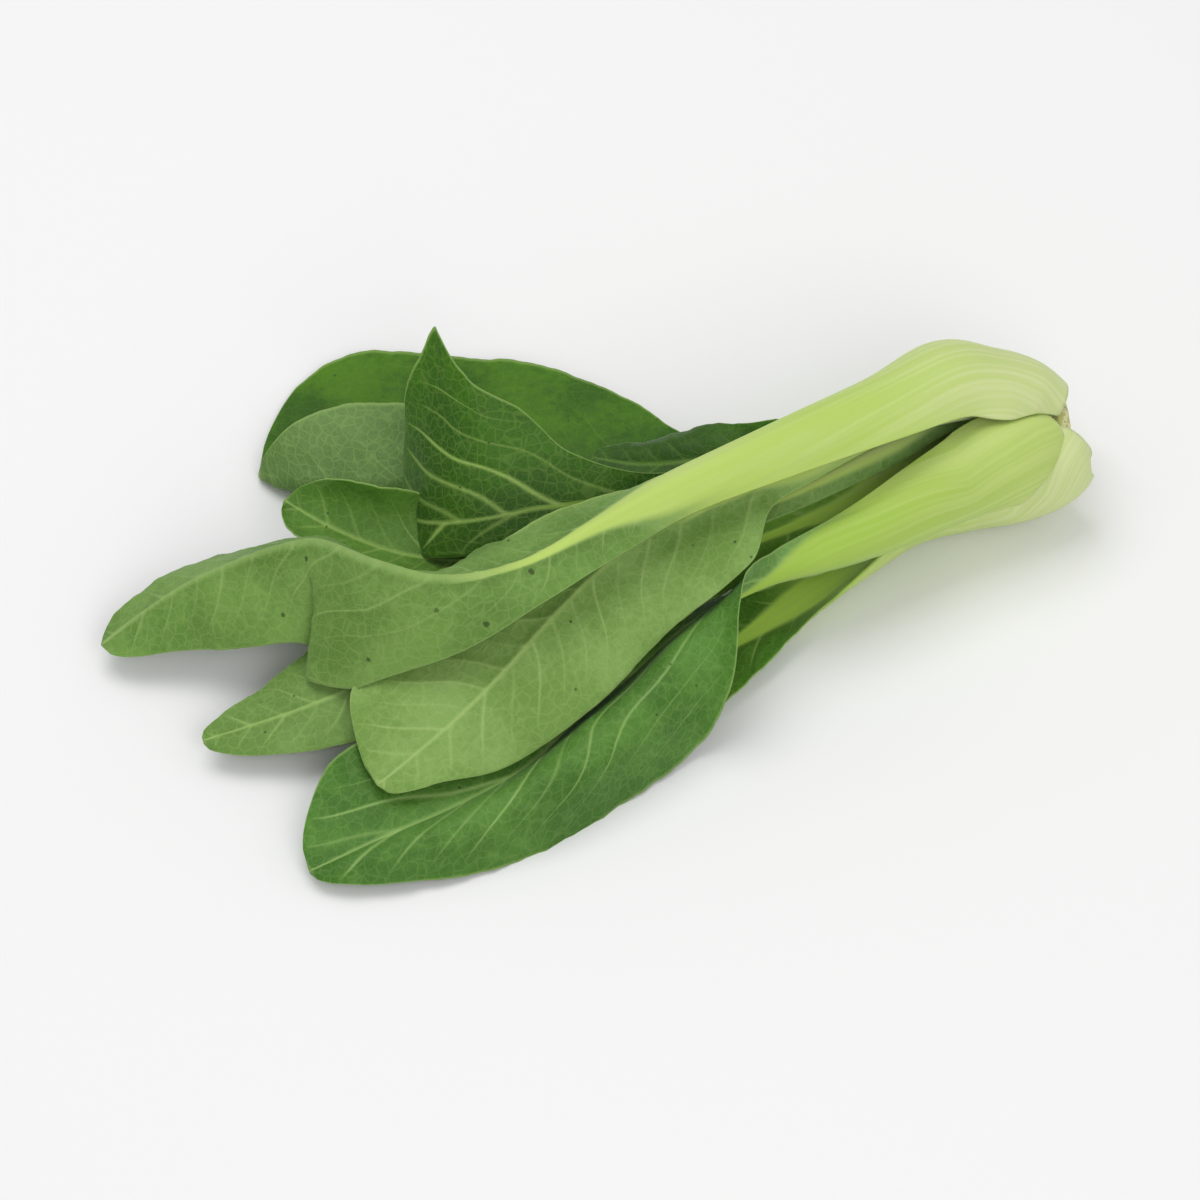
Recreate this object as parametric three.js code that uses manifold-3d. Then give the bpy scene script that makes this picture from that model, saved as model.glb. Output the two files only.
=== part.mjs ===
// A head of green-stemmed bok choy lying on its side, in millimetres, +Z up.
// A short cut stem plate (the crown) carries ten leaves. Every leaf is one piece: a thick
// pale stalk that widens into the bulb at its foot, and a thin blade with a raised midrib.
import * as THREE from 'three';
import Module from 'manifold-3d';

const wasm = await Module();
wasm.setup();

const CROWN = [97, 33, 21.7];          // middle of the crown, where the stalks meet
const AXIS = [-0.99, -0.12, 0];        // the way the bulb points, from crown to leaves
const FRONT = [0.12, -0.99, 0];        // level and square to the axis
const BLADE_THICK = 1.3;               // thickness of a blade between its veins
const STALK_THICK = 0.5;               // least thickness at the edge of a stalk
const LEAF_GAP = 0.35;                 // clearance left where leaves press together
const ROWS_PER_LEAF = 24;              // sections along a leaf
const TIP_STATIONS = 0.9;              // stretch at the tip over which the margins round off
const CROWN_CUT_RADIUS = 8.5;
const CROWN_TOP_RADIUS = 9.5;
const CROWN_LENGTH = 5.5;

// A station beside the bulb: distance along the axis, angle round it and radius.
// Angle 0 is the front, 90 the top. The outer face of the leaf looks away from the axis.
function at(along, angle, radius) {
  const turn = angle * Math.PI / 180;
  const out = [0, 1, 2].map((i) => FRONT[i] * Math.cos(turn) + (i === 2 ? Math.sin(turn) : 0));
  const place = [0, 1, 2].map((i) => CROWN[i] + AXIS[i] * along + out[i] * radius);
  return [...place, ...out];
}

// Each station row: place, direction of the outer (back) face, then
// plus and minus half-width, fold at the midrib, bend across the half (degrees),
// rib height and rib half-width. The plus side is tangent x outer direction.
// "turn" is where across each half the bend happens and how far it is spread;
// "wave" is the ripple of the margin, "strips" the facets on each side of the midrib.
const LEAVES = [
  {
    name: 'leaf_top', color: 0x8aa66b, turn: [0.5, 0.5, 0.5, 0.5], wave: 0.6, strips: 4,
    rows: [
      [...at(-3, 115, 10), 8, 8, 0, 0, 45, 45, 3.5, 8],
      [...at(4, 115, 15.5), 13, 13, 0, 0, 50, 50, 4.5, 11],
      [...at(14, 111, 19.6), 17, 17, 0, 0, 50, 50, 5, 13],
      [...at(27, 101, 24.4), 16, 15.5, 0, 0, 50, 48, 5.5, 12],
      [52, 22.5, 46.5, -0.1, 0.22, 0.97, 12.5, 12.5, 0, 0, 45, 45, 5.5, 9.5],
      [26.7, 6.1, 49, 0, 0.1, 1, 9, 9, 0, 0, 40, 40, 5.5, 7],
      [0, -8.7, 48.5, 0, 0, 1, 7, 7, 0, 0, 30, 30, 5, 5.5],
      [-20, -19.9, 47.5, 0, 0, 1, 10, 9, 0, 0, 25, 25, 4, 4],
      [-40, -31.8, 46.5, 0, 0, 1, 15, 11, 10, 10, 20, 20, 3.2, 3],
      [-60, -35.5, 45.5, 0, 0, 1, 22, 20, 35, 38, 20, 15, 2.2, 2.2],
      [-77, -29.3, 44, 0, 0, 1, 27, 33, 50, 48, 15, 10, 1.6, 2],
      [-92, -19.5, 40.5, 0, 0, 1, 27, 34.5, 50, 50, 10, 5, 1.2, 1.7],
      [-101, -18, 37, 0, 0, 1, 25, 27, 42, 48, 15, 8, 1.1, 1.6],
      [-111, -18, 32, 0, 0, 1, 22, 23, 35, 42, 20, 10, 1, 1.5],
      [-127, -19, 22, 0, 0, 1, 14, 18, 20, 30, 20, 10, 0.8, 1.3],
      [-141, -23.5, 13, 0, 0, 1, 8, 10, 15, 20, 10, 5, 0.7, 1.2],
      [-149, -26.5, 7, 0, 0, 1, 5, 6, 10, 10, 5, 5, 0.5, 1],
    ],
  },
  {
    name: 'leaf_front', color: 0x5d8a4a, turn: [0.4, 0.3, 0.5, 0.5], wave: 0.6, strips: 5,
    rows: [
      [...at(0, 33, 11), 8, 8, 0, 0, 45, 45, 3.5, 8],
      [...at(6, 33, 15.5), 12, 12, 0, 0, 48, 48, 4.5, 10],
      [...at(14, 27, 18.5), 14.5, 16, 0, 0, 48, 48, 5.5, 12],
      [...at(25, 15, 19.5), 14, 15, 0, 0, 45, 45, 6, 11],
      [62, 3.5, 27.5, 0.3, -0.8, 0.5, 10.5, 11, 0, 0, 40, 40, 5.5, 8.5],
      [49, -5, 28, 0.4, -0.7, 0.55, 8, 8, 0, 0, 35, 35, 5, 6],
      [35, -12, 27.5, 0.4, -0.7, 0.5, 6, 6, 0, 0, 25, 25, 4.5, 5],
      [22, -17, 25, 0.5, -0.8, 0, 8, 5.5, 0, 0, 0, 10, 4, 4],
      [10, -23.5, 22, 0.3, -0.6, -0.7, 18, 9, 20, 0, -40, 5, 3.2, 3],
      [-3, -33, 18, 0.15, -0.25, -0.95, 30, 16, 38, 10, -95, 5, 2.6, 2.5],
      [-14, -43, 14.5, 0, 0, -1, 38, 22, 48, 10, -120, 5, 2.2, 2.2],
      [-27, -55, 12.3, 0, 0, -1, 38, 25, 50, 8, -125, 5, 1.8, 2],
      [-40, -68, 10.4, 0, 0, -1, 33, 26, 45, 8, -118, 5, 1.5, 1.8],
      [-57, -78.5, 8.6, 0, 0, -1, 25, 26, 38, 8, -100, 8, 1.2, 1.5],
      [-76, -88, 7.5, 0, 0, -1, 15, 25, 25, 10, -70, 10, 1, 1.3],
      [-94, -96.5, 5, 0, 0, -1, 7, 13, 10, 10, -20, 5, 0.6, 1],
    ],
  },
  {
    name: 'leaf_peek', color: 0x4d7a35, turn: [0.5, 0.5, 0.5, 0.5], wave: 0.8, strips: 4,
    rows: [
      [...at(2, 138, 11.5), 3, 3, 0, 0, 25, 25, 1.8, 3.5],
      [...at(12, 140, 15.8), 3.5, 3.5, 0, 0, 25, 25, 2, 3.8],
      [...at(28, 140, 17.5), 4, 4, 0, 0, 25, 25, 2.2, 4],
      [57, 35.5, 37.5, 0, 0.75, 0.65, 4.2, 4.2, 0, 0, 20, 20, 2.3, 4],
      [38, 24, 36.5, 0, 0.85, 0.4, 4.5, 4.5, 0, 0, 15, 15, 2.3, 3.5],
      [20, 16.5, 33.5, 0, 0.6, -0.7, 6, 8, 0, 0, 5, -10, 2.2, 3],
      [5, 16.5, 30.5, 0, 0.3, -0.9, 7, 11, 5, 15, 5, -60, 1.8, 2.4],
      [-10, 18, 27, 0, 0.3, -0.9, 7, 9, 5, 15, 5, -60, 1.4, 1.8],
      [-23, 22, 25, 0, 0.3, -0.9, 4, 5, 0, 0, 5, 0, 0.8, 1],
    ],
  },
  {
    name: 'leaf_pale', color: 0x92ab74, turn: [0.5, 0.5, 0.5, 0.5], wave: 0.8, strips: 4,
    rows: [
      [...at(1, 95, 7), 6, 6, 0, 0, 40, 40, 3, 6],
      [...at(10, 97, 12), 9, 9, 0, 0, 40, 40, 3.2, 7],
      [76, 34, 35, -0.1, 0.3, 0.95, 8, 8, 0, 0, 40, 40, 3.5, 6.5],
      [52, 24, 37, -0.1, 0.25, 0.96, 7, 7, 0, 0, 35, 35, 3.5, 6],
      [30, 8, 38, 0, 0, 1, 6, 6, 0, 0, 25, 25, 3.5, 5],
      [19, 1, 38, 0, 0, 1, 6.5, 8, 0, 0, 15, 15, 3.2, 4],
      [10, -4.5, 38, 0, -0.05, 1, 9, 18, 0, 2, 8, 10, 3, 3.5],
      [0, -10, 37.5, 0.05, -0.15, 1, 14, 21, 3, 5, 5, 10, 2.7, 3],
      [-13.3, -18.5, 36.5, 0.1, -0.25, 0.95, 18, 22.5, 3, 5, 5, 12, 2.4, 2.6],
      [-23.3, -27, 34.5, 0.1, -0.3, 0.95, 22, 23.5, 3, 5, 8, 15, 2.1, 2.4],
      [-35.3, -39.5, 30.5, 0.1, -0.3, 0.95, 26, 23.5, 3, 5, 10, 15, 1.8, 2.2],
      [-45.7, -49.7, 24.5, 0, -0.35, 0.93, 29, 21, 3, 5, 10, 12, 1.5, 2],
      [-57, -60, 19.5, 0, -0.35, 0.93, 29.5, 17, 3, 5, 10, 8, 1.2, 1.7],
      [-68, -69, 15.5, 0, -0.3, 0.95, 25, 9, 3, 3, 8, 5, 1, 1.4],
      [-77, -76, 13, 0, -0.3, 0.95, 11, 6, 0, 0, 5, 5, 0.6, 1],
    ],
  },
  {
    name: 'leaf_inner', color: 0x7b9d4f, turn: [0.5, 0.5, 0.5, 0.5], wave: 0.6, strips: 4,
    rows: [
      [...at(1, 205, 6), 6, 6, 0, 0, 50, 50, 3, 6],
      [...at(10, 205, 10), 9, 9, 0, 0, 50, 50, 3.5, 7],
      [...at(24, 205, 9), 9.5, 9.5, 0, 0, 50, 50, 4, 7],
      [62, 25.5, 20.5, -0.2, 0.7, -0.65, 8, 8, 0, 0, 45, 45, 4, 6],
      [47, 12, 19.5, -0.2, 0.55, -0.8, 7, 9, 0, 5, 35, 20, 3.8, 4.5],
      [32, 4, 20, -0.1, 0.45, -0.9, 8, 15, 3, 8, 10, 10, 3, 3.5],
      [18, -4, 21, 0, 0.3, -0.95, 9, 18, 3, 8, 5, 5, 2.6, 3],
      [0, -15, 23.5, 0, 0.1, -1, 12, 20, 3, 5, 5, 5, 2.2, 2.4],
      [-18, -29, 22.5, 0, 0.1, -1, 14, 18, 3, 3, 5, 5, 1.8, 2],
      [-34, -42, 20, 0, 0, -1, 11, 12, 3, 3, 5, 5, 1.2, 1.6],
      [-45, -51, 17.5, 0, 0, -1, 4, 4, 0, 0, 5, 5, 0.6, 1],
    ],
  },
  {
    name: 'leaf_upright', color: 0x54803a, turn: [0.5, 0.5, 0.5, 0.5], wave: 0.8, strips: 4,
    rows: [
      [...at(1, 180, 7), 6, 6, 0, 0, 45, 45, 3, 6],
      [...at(10, 176, 13), 9, 9, 0, 0, 45, 45, 3.5, 7],
      [...at(25, 168, 14), 9, 9, 0, 0, 45, 45, 3.8, 7],
      [59, 34, 27, -0.3, 0.9, 0.05, 8, 8, 0, 0, 40, 40, 4, 6],
      [38, 22.5, 28, -0.4, 0.85, -0.2, 6.5, 6.5, 0, 0, 30, 30, 4, 5],
      [15, 11, 28, -0.3, 0.8, -0.45, 6, 6, 0, 0, 20, 20, 4, 4.5],
      [-8, 6, 27, 0, 0.6, -0.8, 6, 7, 0, 0, 5, 5, 3.8, 4],
      [-27.7, 5, 26, 0, 0.6, -0.8, 9, 14, 0, 0, 5, 5, 3, 3],
      [-38, 4, 25.5, 0, 0.6, -0.8, 10, 27, 0, 0, 5, 5, 2.6, 2.5],
      [-49, 2.4, 24, 0, 0.6, -0.8, 9, 38, 0, 0, 5, 8, 2.2, 2.2],
      [-58, 2.8, 21.5, 0.1, 0.65, -0.75, 9, 51, 0, 0, 5, 6, 2, 2],
      [-65.5, 6, 17.5, 0.35, 0.6, -0.6, 9, 44, 0, 0, 5, 6, 1.8, 1.9],
      [-70, 11, 13, 0.7, 0.45, -0.4, 8, 33, 0, 0, 5, 8, 1.6, 1.8],
      [-72.5, 16, 9.5, 0.85, 0.3, -0.25, 6, 18, 0, 0, 5, 8, 1.2, 1.5],
      [-73.5, 19.5, 7.5, 0.9, 0.2, -0.2, 4, 8, 0, 0, 5, 5, 0.8, 1.2],
    ],
  },
  {
    name: 'leaf_back', color: 0x43701f, turn: [0.3, 0.16, 0.5, 0.5], wave: 0.8, strips: 7,
    rows: [
      [...at(-4, 195, 10.5), 8, 8, 0, 0, 45, 45, 3.5, 8],
      [...at(3, 195, 15.5), 13, 13, 0, 0, 50, 50, 4.5, 11],
      [...at(13, 195, 19), 17, 17, 0, 0, 50, 50, 5, 13],
      [...at(28, 195, 20), 16, 16, 0, 0, 50, 50, 5.5, 12],
      [52, 40, 18, -0.2, 0.85, -0.4, 12, 12, 0, 0, 42, 42, 5, 9],
      [34, 31, 14, -0.3, 0.6, -0.75, 9, 9, 0, 0, 30, 30, 4.5, 6],
      [16, 26.5, 12.5, -0.1, 0.4, -0.9, 8, 9, 0, 0, 20, 20, 4, 5],
      [0, 26, 11, 0, 0.1, -1, 13, 14, 5, 5, 5, 5, 3, 3.5],
      [-20, 29, 8.4, 0, 0, -1, 20, 28, 5, 5, 5, -5, 2.4, 2.6],
      [-42, 32, 5.8, 0, 0, -1, 26, 37, 5, 4, 50, -5, 1.8, 2],
      [-54, 32.8, 4.8, 0, 0, -1, 31, 39.5, 5, 4, 100, -5, 1.6, 1.85],
      [-66, 33.5, 3.3, 0, 0, -1, 36, 41, 5, 4, 150, -5, 1.4, 1.7],
      [-87, 34.3, 2.6, 0, 0, -1, 37, 41, 5, 4, 163, -5, 1.1, 1.4],
      [-101, 34.7, 2.2, 0, 0, -1, 27, 32, 5, 4, 158, -5, 0.8, 1.2],
      [-111, 34.9, 2, 0, 0, -1, 10, 15, 5, 4, 140, 0, 0.6, 1],
    ],
  },
  {
    name: 'leaf_under', color: 0x7b9d4f, turn: [0.5, 0.5, 0.5, 0.5], wave: 0.4, strips: 4,
    rows: [
      [...at(-5.5, 25, 8.5), 7, 4.5, 0, 0, 42, 42, 3.5, 8],
      [...at(-3, 15, 12.5), 11.5, 10, 0, 0, 46, 46, 4.2, 10],
      [...at(2, -12, 15.8), 15.5, 15.5, 0, 0, 50, 50, 4.5, 12],
      [...at(10, -36, 18), 17.5, 17.5, 0, 0, 52, 52, 4.5, 13],
      [...at(24, -46, 18.6), 17, 17, 0, 0, 50, 50, 5, 13],
      [60, 11, 9, 0.25, -0.6, -0.75, 12, 12, 0, 0, 42, 42, 4.5, 9],
      [46, 1, 7, 0.25, -0.35, -0.9, 9, 9, 0, 0, 35, 35, 4.2, 6.5],
      [31, -11, 6, 0.1, -0.15, -0.98, 8, 8, 0, 0, 20, 20, 4, 5],
      [14, -24, 4.8, 0, 0, -1, 12, 14, 3, 3, 10, 10, 3, 3.5],
      [-8, -40, 4, 0, 0, -1, 16, 20, 2, 2, 3, 3, 2.2, 2.5],
      [-30, -56, 3.3, 0, 0, -1, 17, 22, 2, 2, 3, 3, 1.6, 2],
      [-50, -70, 2.8, 0, 0, -1, 14, 20, 2, 2, 3, 3, 1.2, 1.6],
      [-66, -80, 2.6, 0, 0, -1, 9, 12, 2, 2, 3, 3, 1, 1.3],
      [-76, -86, 2.3, 0, 0, -1, 4, 4, 0, 0, 0, 0, 0.6, 1],
    ],
  },
  {
    name: 'leaf_left', color: 0x88a26a, turn: [0.5, 0.5, 0.5, 0.5], wave: 0.8, strips: 4,
    rows: [
      [...at(1, 110, 2.5), 3.5, 3.5, 0, 0, 30, 30, 2, 3.5],
      [...at(12, 105, 5), 4.5, 4.5, 0, 0, 30, 30, 2.2, 4],
      [...at(28, 100, 8), 5, 5, 0, 0, 30, 30, 2.5, 4],
      [53, 19, 31, 0, 0, 1, 5, 5, 0, 0, 30, 30, 2.5, 4],
      [29, 3, 32, 0, 0, 1, 4.5, 4.5, 0, 0, 20, 20, 2.5, 3.5],
      [7, -8, 31.5, 0, 0, 1, 5, 5, 0, 0, 10, 10, 2.4, 3],
      [-15, -15, 29, 0, 0, 1, 11, 10, 3, 3, 5, 5, 2, 2.5],
      [-35, -24, 25, 0, 0, 1, 17, 13, 3, 3, 5, 5, 1.7, 2.2],
      [-55, -33, 20, 0, 0, 1, 19, 15, 3, 3, 5, 5, 1.5, 2],
      [-75, -42, 15, 0, -0.1, 1, 19, 15, 3, 3, 8, 8, 1.3, 1.7],
      [-95, -50, 11.5, 0, -0.15, 1, 15, 12, 5, 5, 8, 8, 1, 1.4],
      [-110, -54.5, 9, 0, -0.15, 1, 9, 8, 5, 5, 8, 8, 0.8, 1.2],
      [-122, -58, 7.5, 0, -0.15, 1, 4, 4, 0, 0, 5, 5, 0.5, 1],
    ],
  },
  {
    name: 'leaf_curl', color: 0x6f9350, turn: [0.5, 0.4, 0.5, 0.4], wave: 1.2, strips: 5,
    rows: [
      [...at(1, 270, 3.5), 3.5, 3.5, 0, 0, 30, 30, 2, 3.5],
      [...at(12, 265, 6), 4.5, 4.5, 0, 0, 30, 30, 2.2, 4],
      [...at(28, 260, 8), 5, 5, 0, 0, 30, 30, 2.5, 4],
      [55, 10, 13, 0, 0, -1, 5, 5, 0, 0, 25, 25, 2.5, 4],
      [30, 5, 11, 0, 0, -1, 4.5, 4.5, 0, 0, 20, 20, 2.5, 3.5],
      [5, 3, 10, 0, 0, -1, 4.5, 4.5, 0, 0, 10, 10, 2.4, 3],
      [-25, 2, 9, 0, 0, -1, 8, 8, 5, 5, 10, 10, 2, 2.5],
      [-50, 0, 9, 0, 0, -1, 13, 13, 10, 10, 20, 20, 1.6, 2],
      [-72, 1, 11, 0.1, 0, -1, 16, 17, 15, 15, 40, 50, 1.3, 1.8],
      [-90, 7, 14, 0.3, 0, -0.95, 14, 16, 20, 20, 60, 60, 1, 1.4],
      [-103, 14, 17, 0.4, 0, -0.9, 6, 7, 10, 10, 20, 20, 0.6, 1],
    ],
  },
];

// Smooth curve through a column of station values.
function along(rows, position) {
  const last = rows.length - 1;
  const cell = Math.min(Math.floor(position), last - 1);
  const t = position - cell;
  const [a, b, c, d] = [cell - 1, cell, cell + 1, cell + 2]
    .map((i) => rows[Math.max(0, Math.min(last, i))]);
  return b.map((_, i) => 0.5 * (2 * b[i] + (c[i] - a[i]) * t
    + (2 * a[i] - 5 * b[i] + 4 * c[i] - d[i]) * t * t
    + (3 * b[i] - a[i] - 3 * c[i] + d[i]) * t * t * t));
}

function smooth(x) {
  const t = Math.max(0, Math.min(1, x));
  return t * t * (3 - 2 * t);
}

// The outline of one cross-section: the inner face from the plus edge to the minus edge,
// then the outer face back again.
function section(leaf, position, grow) {
  const row = along(leaf.rows, position);
  const step = 0.02;
  const ahead = along(leaf.rows, Math.min(position + step, leaf.rows.length - 1));
  const behind = along(leaf.rows, Math.max(position - step, 0));
  const centre = new THREE.Vector3(row[0], row[1], row[2]);
  const tangent = new THREE.Vector3(...[0, 1, 2].map((i) => ahead[i] - behind[i])).normalize();
  const outer = new THREE.Vector3(row[3], row[4], row[5]);
  outer.addScaledVector(tangent, -outer.dot(tangent)).normalize();
  const side = new THREE.Vector3().crossVectors(tangent, outer);
  const halves = [1, -1].map((sign, k) => half(leaf, row, position, sign, k, grow, { centre, outer, side }));
  const inner = [...halves[0].inner].reverse().concat(halves[1].inner.slice(1));
  const back = [...halves[1].back].reverse().concat(halves[0].back.slice(1));
  return inner.concat(back);
}

// Share of the width left near the tip, where the two margins meet in a round end.
function tipRound(leaf, position) {
  const left = Math.min(1, (leaf.rows.length - 1 - position) / TIP_STATIONS);
  return Math.sqrt(Math.max(0, 1 - (1 - left) ** 2));
}

// One half of a cross-section, walked outwards from the midrib.
function half(leaf, row, position, sign, k, grow, frame) {
  const width = Math.max(0.8, row[6 + k] * tipRound(leaf, position)) + grow;
  const fold = row[8 + k];
  const bend = row[10 + k];
  const rib = Math.max(0.3, row[12]);
  const ribWidth = Math.max(0.8, row[13]);
  const [centreOfTurn, spread] = [leaf.turn[2 * k], leaf.turn[2 * k + 1]];
  const inner = [];
  const back = [];
  const walk = frame.centre.clone();
  const substeps = 6;
  const stalk = smooth((ribWidth - 3) / 4);
  const least = BLADE_THICK + (STALK_THICK - BLADE_THICK) * stalk;
  for (let j = 0; j <= leaf.strips * substeps; j += 1) {
    const q = j / (leaf.strips * substeps);
    const angle = (fold + bend * smooth((q - centreOfTurn + spread) / (2 * spread))) * Math.PI / 180;
    const outward = frame.side.clone().multiplyScalar(sign * Math.cos(angle))
      .addScaledVector(frame.outer, -Math.sin(angle));
    const normal = frame.outer.clone().multiplyScalar(Math.cos(angle))
      .addScaledVector(frame.side, sign * Math.sin(angle));
    if (j % substeps === 0) {
      const across = q * width;
      const ripple = leaf.wave * q * q * (1 - stalk) * Math.sin(position * 2.1 + 1.3 * sign);
      const thick = least + rib * Math.exp(-((across / ribWidth) ** 2));
      inner.push(walk.clone().addScaledVector(normal, ripple - grow));
      back.push(walk.clone().addScaledVector(normal, ripple + thick + grow));
    }
    walk.addScaledVector(outward, width / (leaf.strips * substeps));
  }
  return { inner, back };
}

// The closed skin of one leaf. "grow" swells it evenly to keep its neighbours clear.
function leafSolid(leaf, grow) {
  const rings = [];
  const last = leaf.rows.length - 1;
  for (let i = 0; i <= ROWS_PER_LEAF; i += 1) {
    rings.push(section(leaf, last * i / ROWS_PER_LEAF, grow));
  }
  const around = rings[0].length;
  const points = rings.flat();
  const faces = [];
  for (let i = 0; i < ROWS_PER_LEAF; i += 1) {
    for (let j = 0; j < around; j += 1) {
      const a = i * around + j;
      const b = i * around + (j + 1) % around;
      faces.push([a, b, b + around], [a, b + around, a + around]);
    }
  }
  const end = ROWS_PER_LEAF * around;
  for (let j = 0; j < around / 2 - 1; j += 1) {
    const k = around - 1 - j;
    faces.push([j, k, j + 1], [j + 1, k, k - 1]);
    faces.push([end + j, end + j + 1, end + k], [end + j + 1, end + k - 1, end + k]);
  }
  return closedSolid(points, faces);
}

function closedSolid(points, faces) {
  let volume = 0;
  for (const [a, b, c] of faces) {
    volume += points[a].dot(new THREE.Vector3().crossVectors(points[b], points[c]));
  }
  const turned = volume < 0 ? faces.map(([a, b, c]) => [a, c, b]) : faces;
  return new wasm.Manifold(new wasm.Mesh({
    numProp: 3,
    vertProperties: new Float32Array(points.flatMap((p) => [p.x, p.y, p.z])),
    triVerts: new Uint32Array(turned.flat()),
  }));
}

// The cut stem plate: a short tapered plug on the axis, bevelled at the cut.
function crownSolid(grow) {
  const geometry = new THREE.LatheGeometry([
    new THREE.Vector2(0, -CROWN_LENGTH + 0.5 - grow),
    new THREE.Vector2(CROWN_CUT_RADIUS - 1 + grow, -CROWN_LENGTH + 0.5 - grow),
    new THREE.Vector2(CROWN_CUT_RADIUS + grow, -CROWN_LENGTH + 1.5),
    new THREE.Vector2(CROWN_TOP_RADIUS + grow, -2),
    new THREE.Vector2(CROWN_TOP_RADIUS - 1.5 + grow, 0.2 + grow),
    new THREE.Vector2(0, 0.5 + grow),
  ], 24);
  const turn = new THREE.Quaternion().setFromUnitVectors(
    new THREE.Vector3(0, 1, 0), new THREE.Vector3(...AXIS).normalize());
  geometry.applyQuaternion(turn);
  geometry.translate(...CROWN);
  return solidOf(geometry);
}

function solidOf(geometry) {
  const place = geometry.getAttribute('position');
  const keys = new Map();
  const points = [];
  const index = [];
  for (let i = 0; i < place.count; i += 1) {
    const p = new THREE.Vector3().fromBufferAttribute(place, i);
    const key = p.toArray().map((v) => v.toFixed(3)).join(',');
    if (!keys.has(key)) {
      keys.set(key, points.length);
      points.push(p);
    }
    index.push(keys.get(key));
  }
  const faces = [];
  const order = geometry.index.array;
  for (let i = 0; i < order.length; i += 3) {
    const face = [index[order[i]], index[order[i + 1]], index[order[i + 2]]];
    if (new Set(face).size === 3) {
      faces.push(face);
    }
  }
  return closedSolid(points, faces);
}

function largest(solid) {
  const bodies = solid.decompose();
  bodies.sort((a, b) => b.volume() - a.volume());
  return bodies[0];
}

function meshOf(name, solid, color, roughness) {
  const mesh = solid.getMesh();
  const geometry = new THREE.BufferGeometry();
  geometry.setAttribute('position', new THREE.BufferAttribute(new Float32Array(mesh.vertProperties), 3));
  geometry.setIndex([...mesh.triVerts]);
  geometry.computeVertexNormals();
  const node = new THREE.Mesh(geometry, new THREE.MeshStandardMaterial({ color, roughness, metalness: 0 }));
  node.name = name;
  return node;
}

// Leaves are fitted in order: each gives way to the ones before it.
const group = new THREE.Group();
group.name = 'bok_choy';
group.add(meshOf('crown', crownSolid(0), 0xcfcf9c, 0.6));
const settled = [crownSolid(LEAF_GAP)];
for (const leaf of LEAVES) {
  let solid = leafSolid(leaf, 0);
  for (const neighbour of settled) {
    solid = solid.subtract(neighbour);
  }
  group.add(meshOf(leaf.name, largest(solid), leaf.color, 0.5));
  settled.push(leafSolid(leaf, LEAF_GAP));
}

// The frame's origin is the middle of the footprint, on the surface the head lies on.
const box = new THREE.Box3().setFromObject(group);
const middle = box.getCenter(new THREE.Vector3());
group.children.forEach((node) => node.geometry.translate(-middle.x, -middle.y, -box.min.z));

export default group;
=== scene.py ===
"""A head of green-stemmed bok choy lying on its side on a pale studio floor."""

import logging
import math
from dataclasses import dataclass, field
from enum import Enum
from functools import reduce

import bmesh
import bpy
import numpy as np
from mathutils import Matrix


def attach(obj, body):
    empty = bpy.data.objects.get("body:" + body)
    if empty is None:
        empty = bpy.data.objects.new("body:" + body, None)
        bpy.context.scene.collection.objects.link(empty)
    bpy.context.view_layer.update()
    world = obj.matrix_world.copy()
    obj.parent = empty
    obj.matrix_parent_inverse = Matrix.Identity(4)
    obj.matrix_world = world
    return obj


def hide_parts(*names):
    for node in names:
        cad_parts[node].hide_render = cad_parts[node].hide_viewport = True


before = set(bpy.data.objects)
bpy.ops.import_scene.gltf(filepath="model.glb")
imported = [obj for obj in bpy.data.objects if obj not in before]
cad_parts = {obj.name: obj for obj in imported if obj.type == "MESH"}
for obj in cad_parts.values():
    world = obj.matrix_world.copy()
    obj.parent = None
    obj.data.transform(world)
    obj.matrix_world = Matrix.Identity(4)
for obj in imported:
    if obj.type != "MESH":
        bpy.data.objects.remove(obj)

LOG = logging.getLogger("bok_choy")
MM = 0.001
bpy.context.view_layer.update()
Colour = tuple[int, int, int]
Grid = np.ndarray
Piece = bpy.types.Object
Socket = bpy.types.NodeSocket

# The head's own drawing frame, in millimetres, and where the frame's origin lies in it.
CROWN = np.array([97.0, 33.0, 21.7])
AXIS = np.array([-0.99, -0.12, 0.0])
FRONT = np.array([0.12, -0.99, 0.0])
UP = np.array([0.0, 0.0, 1.0])
ORIGIN = np.array([-20.564, -12.444, -0.040])


class Face(Enum):
    """The two faces of a leaf."""

    INNER = 0
    OUTER = 1


@dataclass(frozen=True)
class VeinRule:
    """How a row of side veins runs over a leaf, for the material and the relief alike.

    The rows swing and drift along the leaf, each half in its own way. An arch is per
    millimetre, an angle in radians, and a shift is a share of the spacing.
    """

    arch: float = 0.012
    half_shift: float = 0.25
    swing: float = 0.1
    swing_along: float = 0.13
    swing_away: float = 0.21
    swing_side: float = 1.7
    drift: float = 0.42
    drift_along: float = 0.058
    drift_side: float = 2.3
    square: float = 0.72
    own_turn: float = 2.4
    own_usual: float = 0.7
    own_change: float = 0.3


VEINS = VeinRule()


def at(along: float, angle: float, radius: float) -> tuple[float, ...]:
    """Place a station beside the bulb, with the outer face looking away from the axis.

    Args:
        along: Distance from the crown along the axis, in millimetres.
        angle: Angle round the axis in degrees, 0 at the front and 90 at the top.
        radius: Distance from the axis, in millimetres.

    Returns:
        The place and the direction of the outer face, six numbers.
    """
    turn = math.radians(angle)
    out = FRONT * math.cos(turn) + UP * math.sin(turn)
    place = CROWN + AXIS * along + out * radius
    return (*place, *out)


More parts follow.
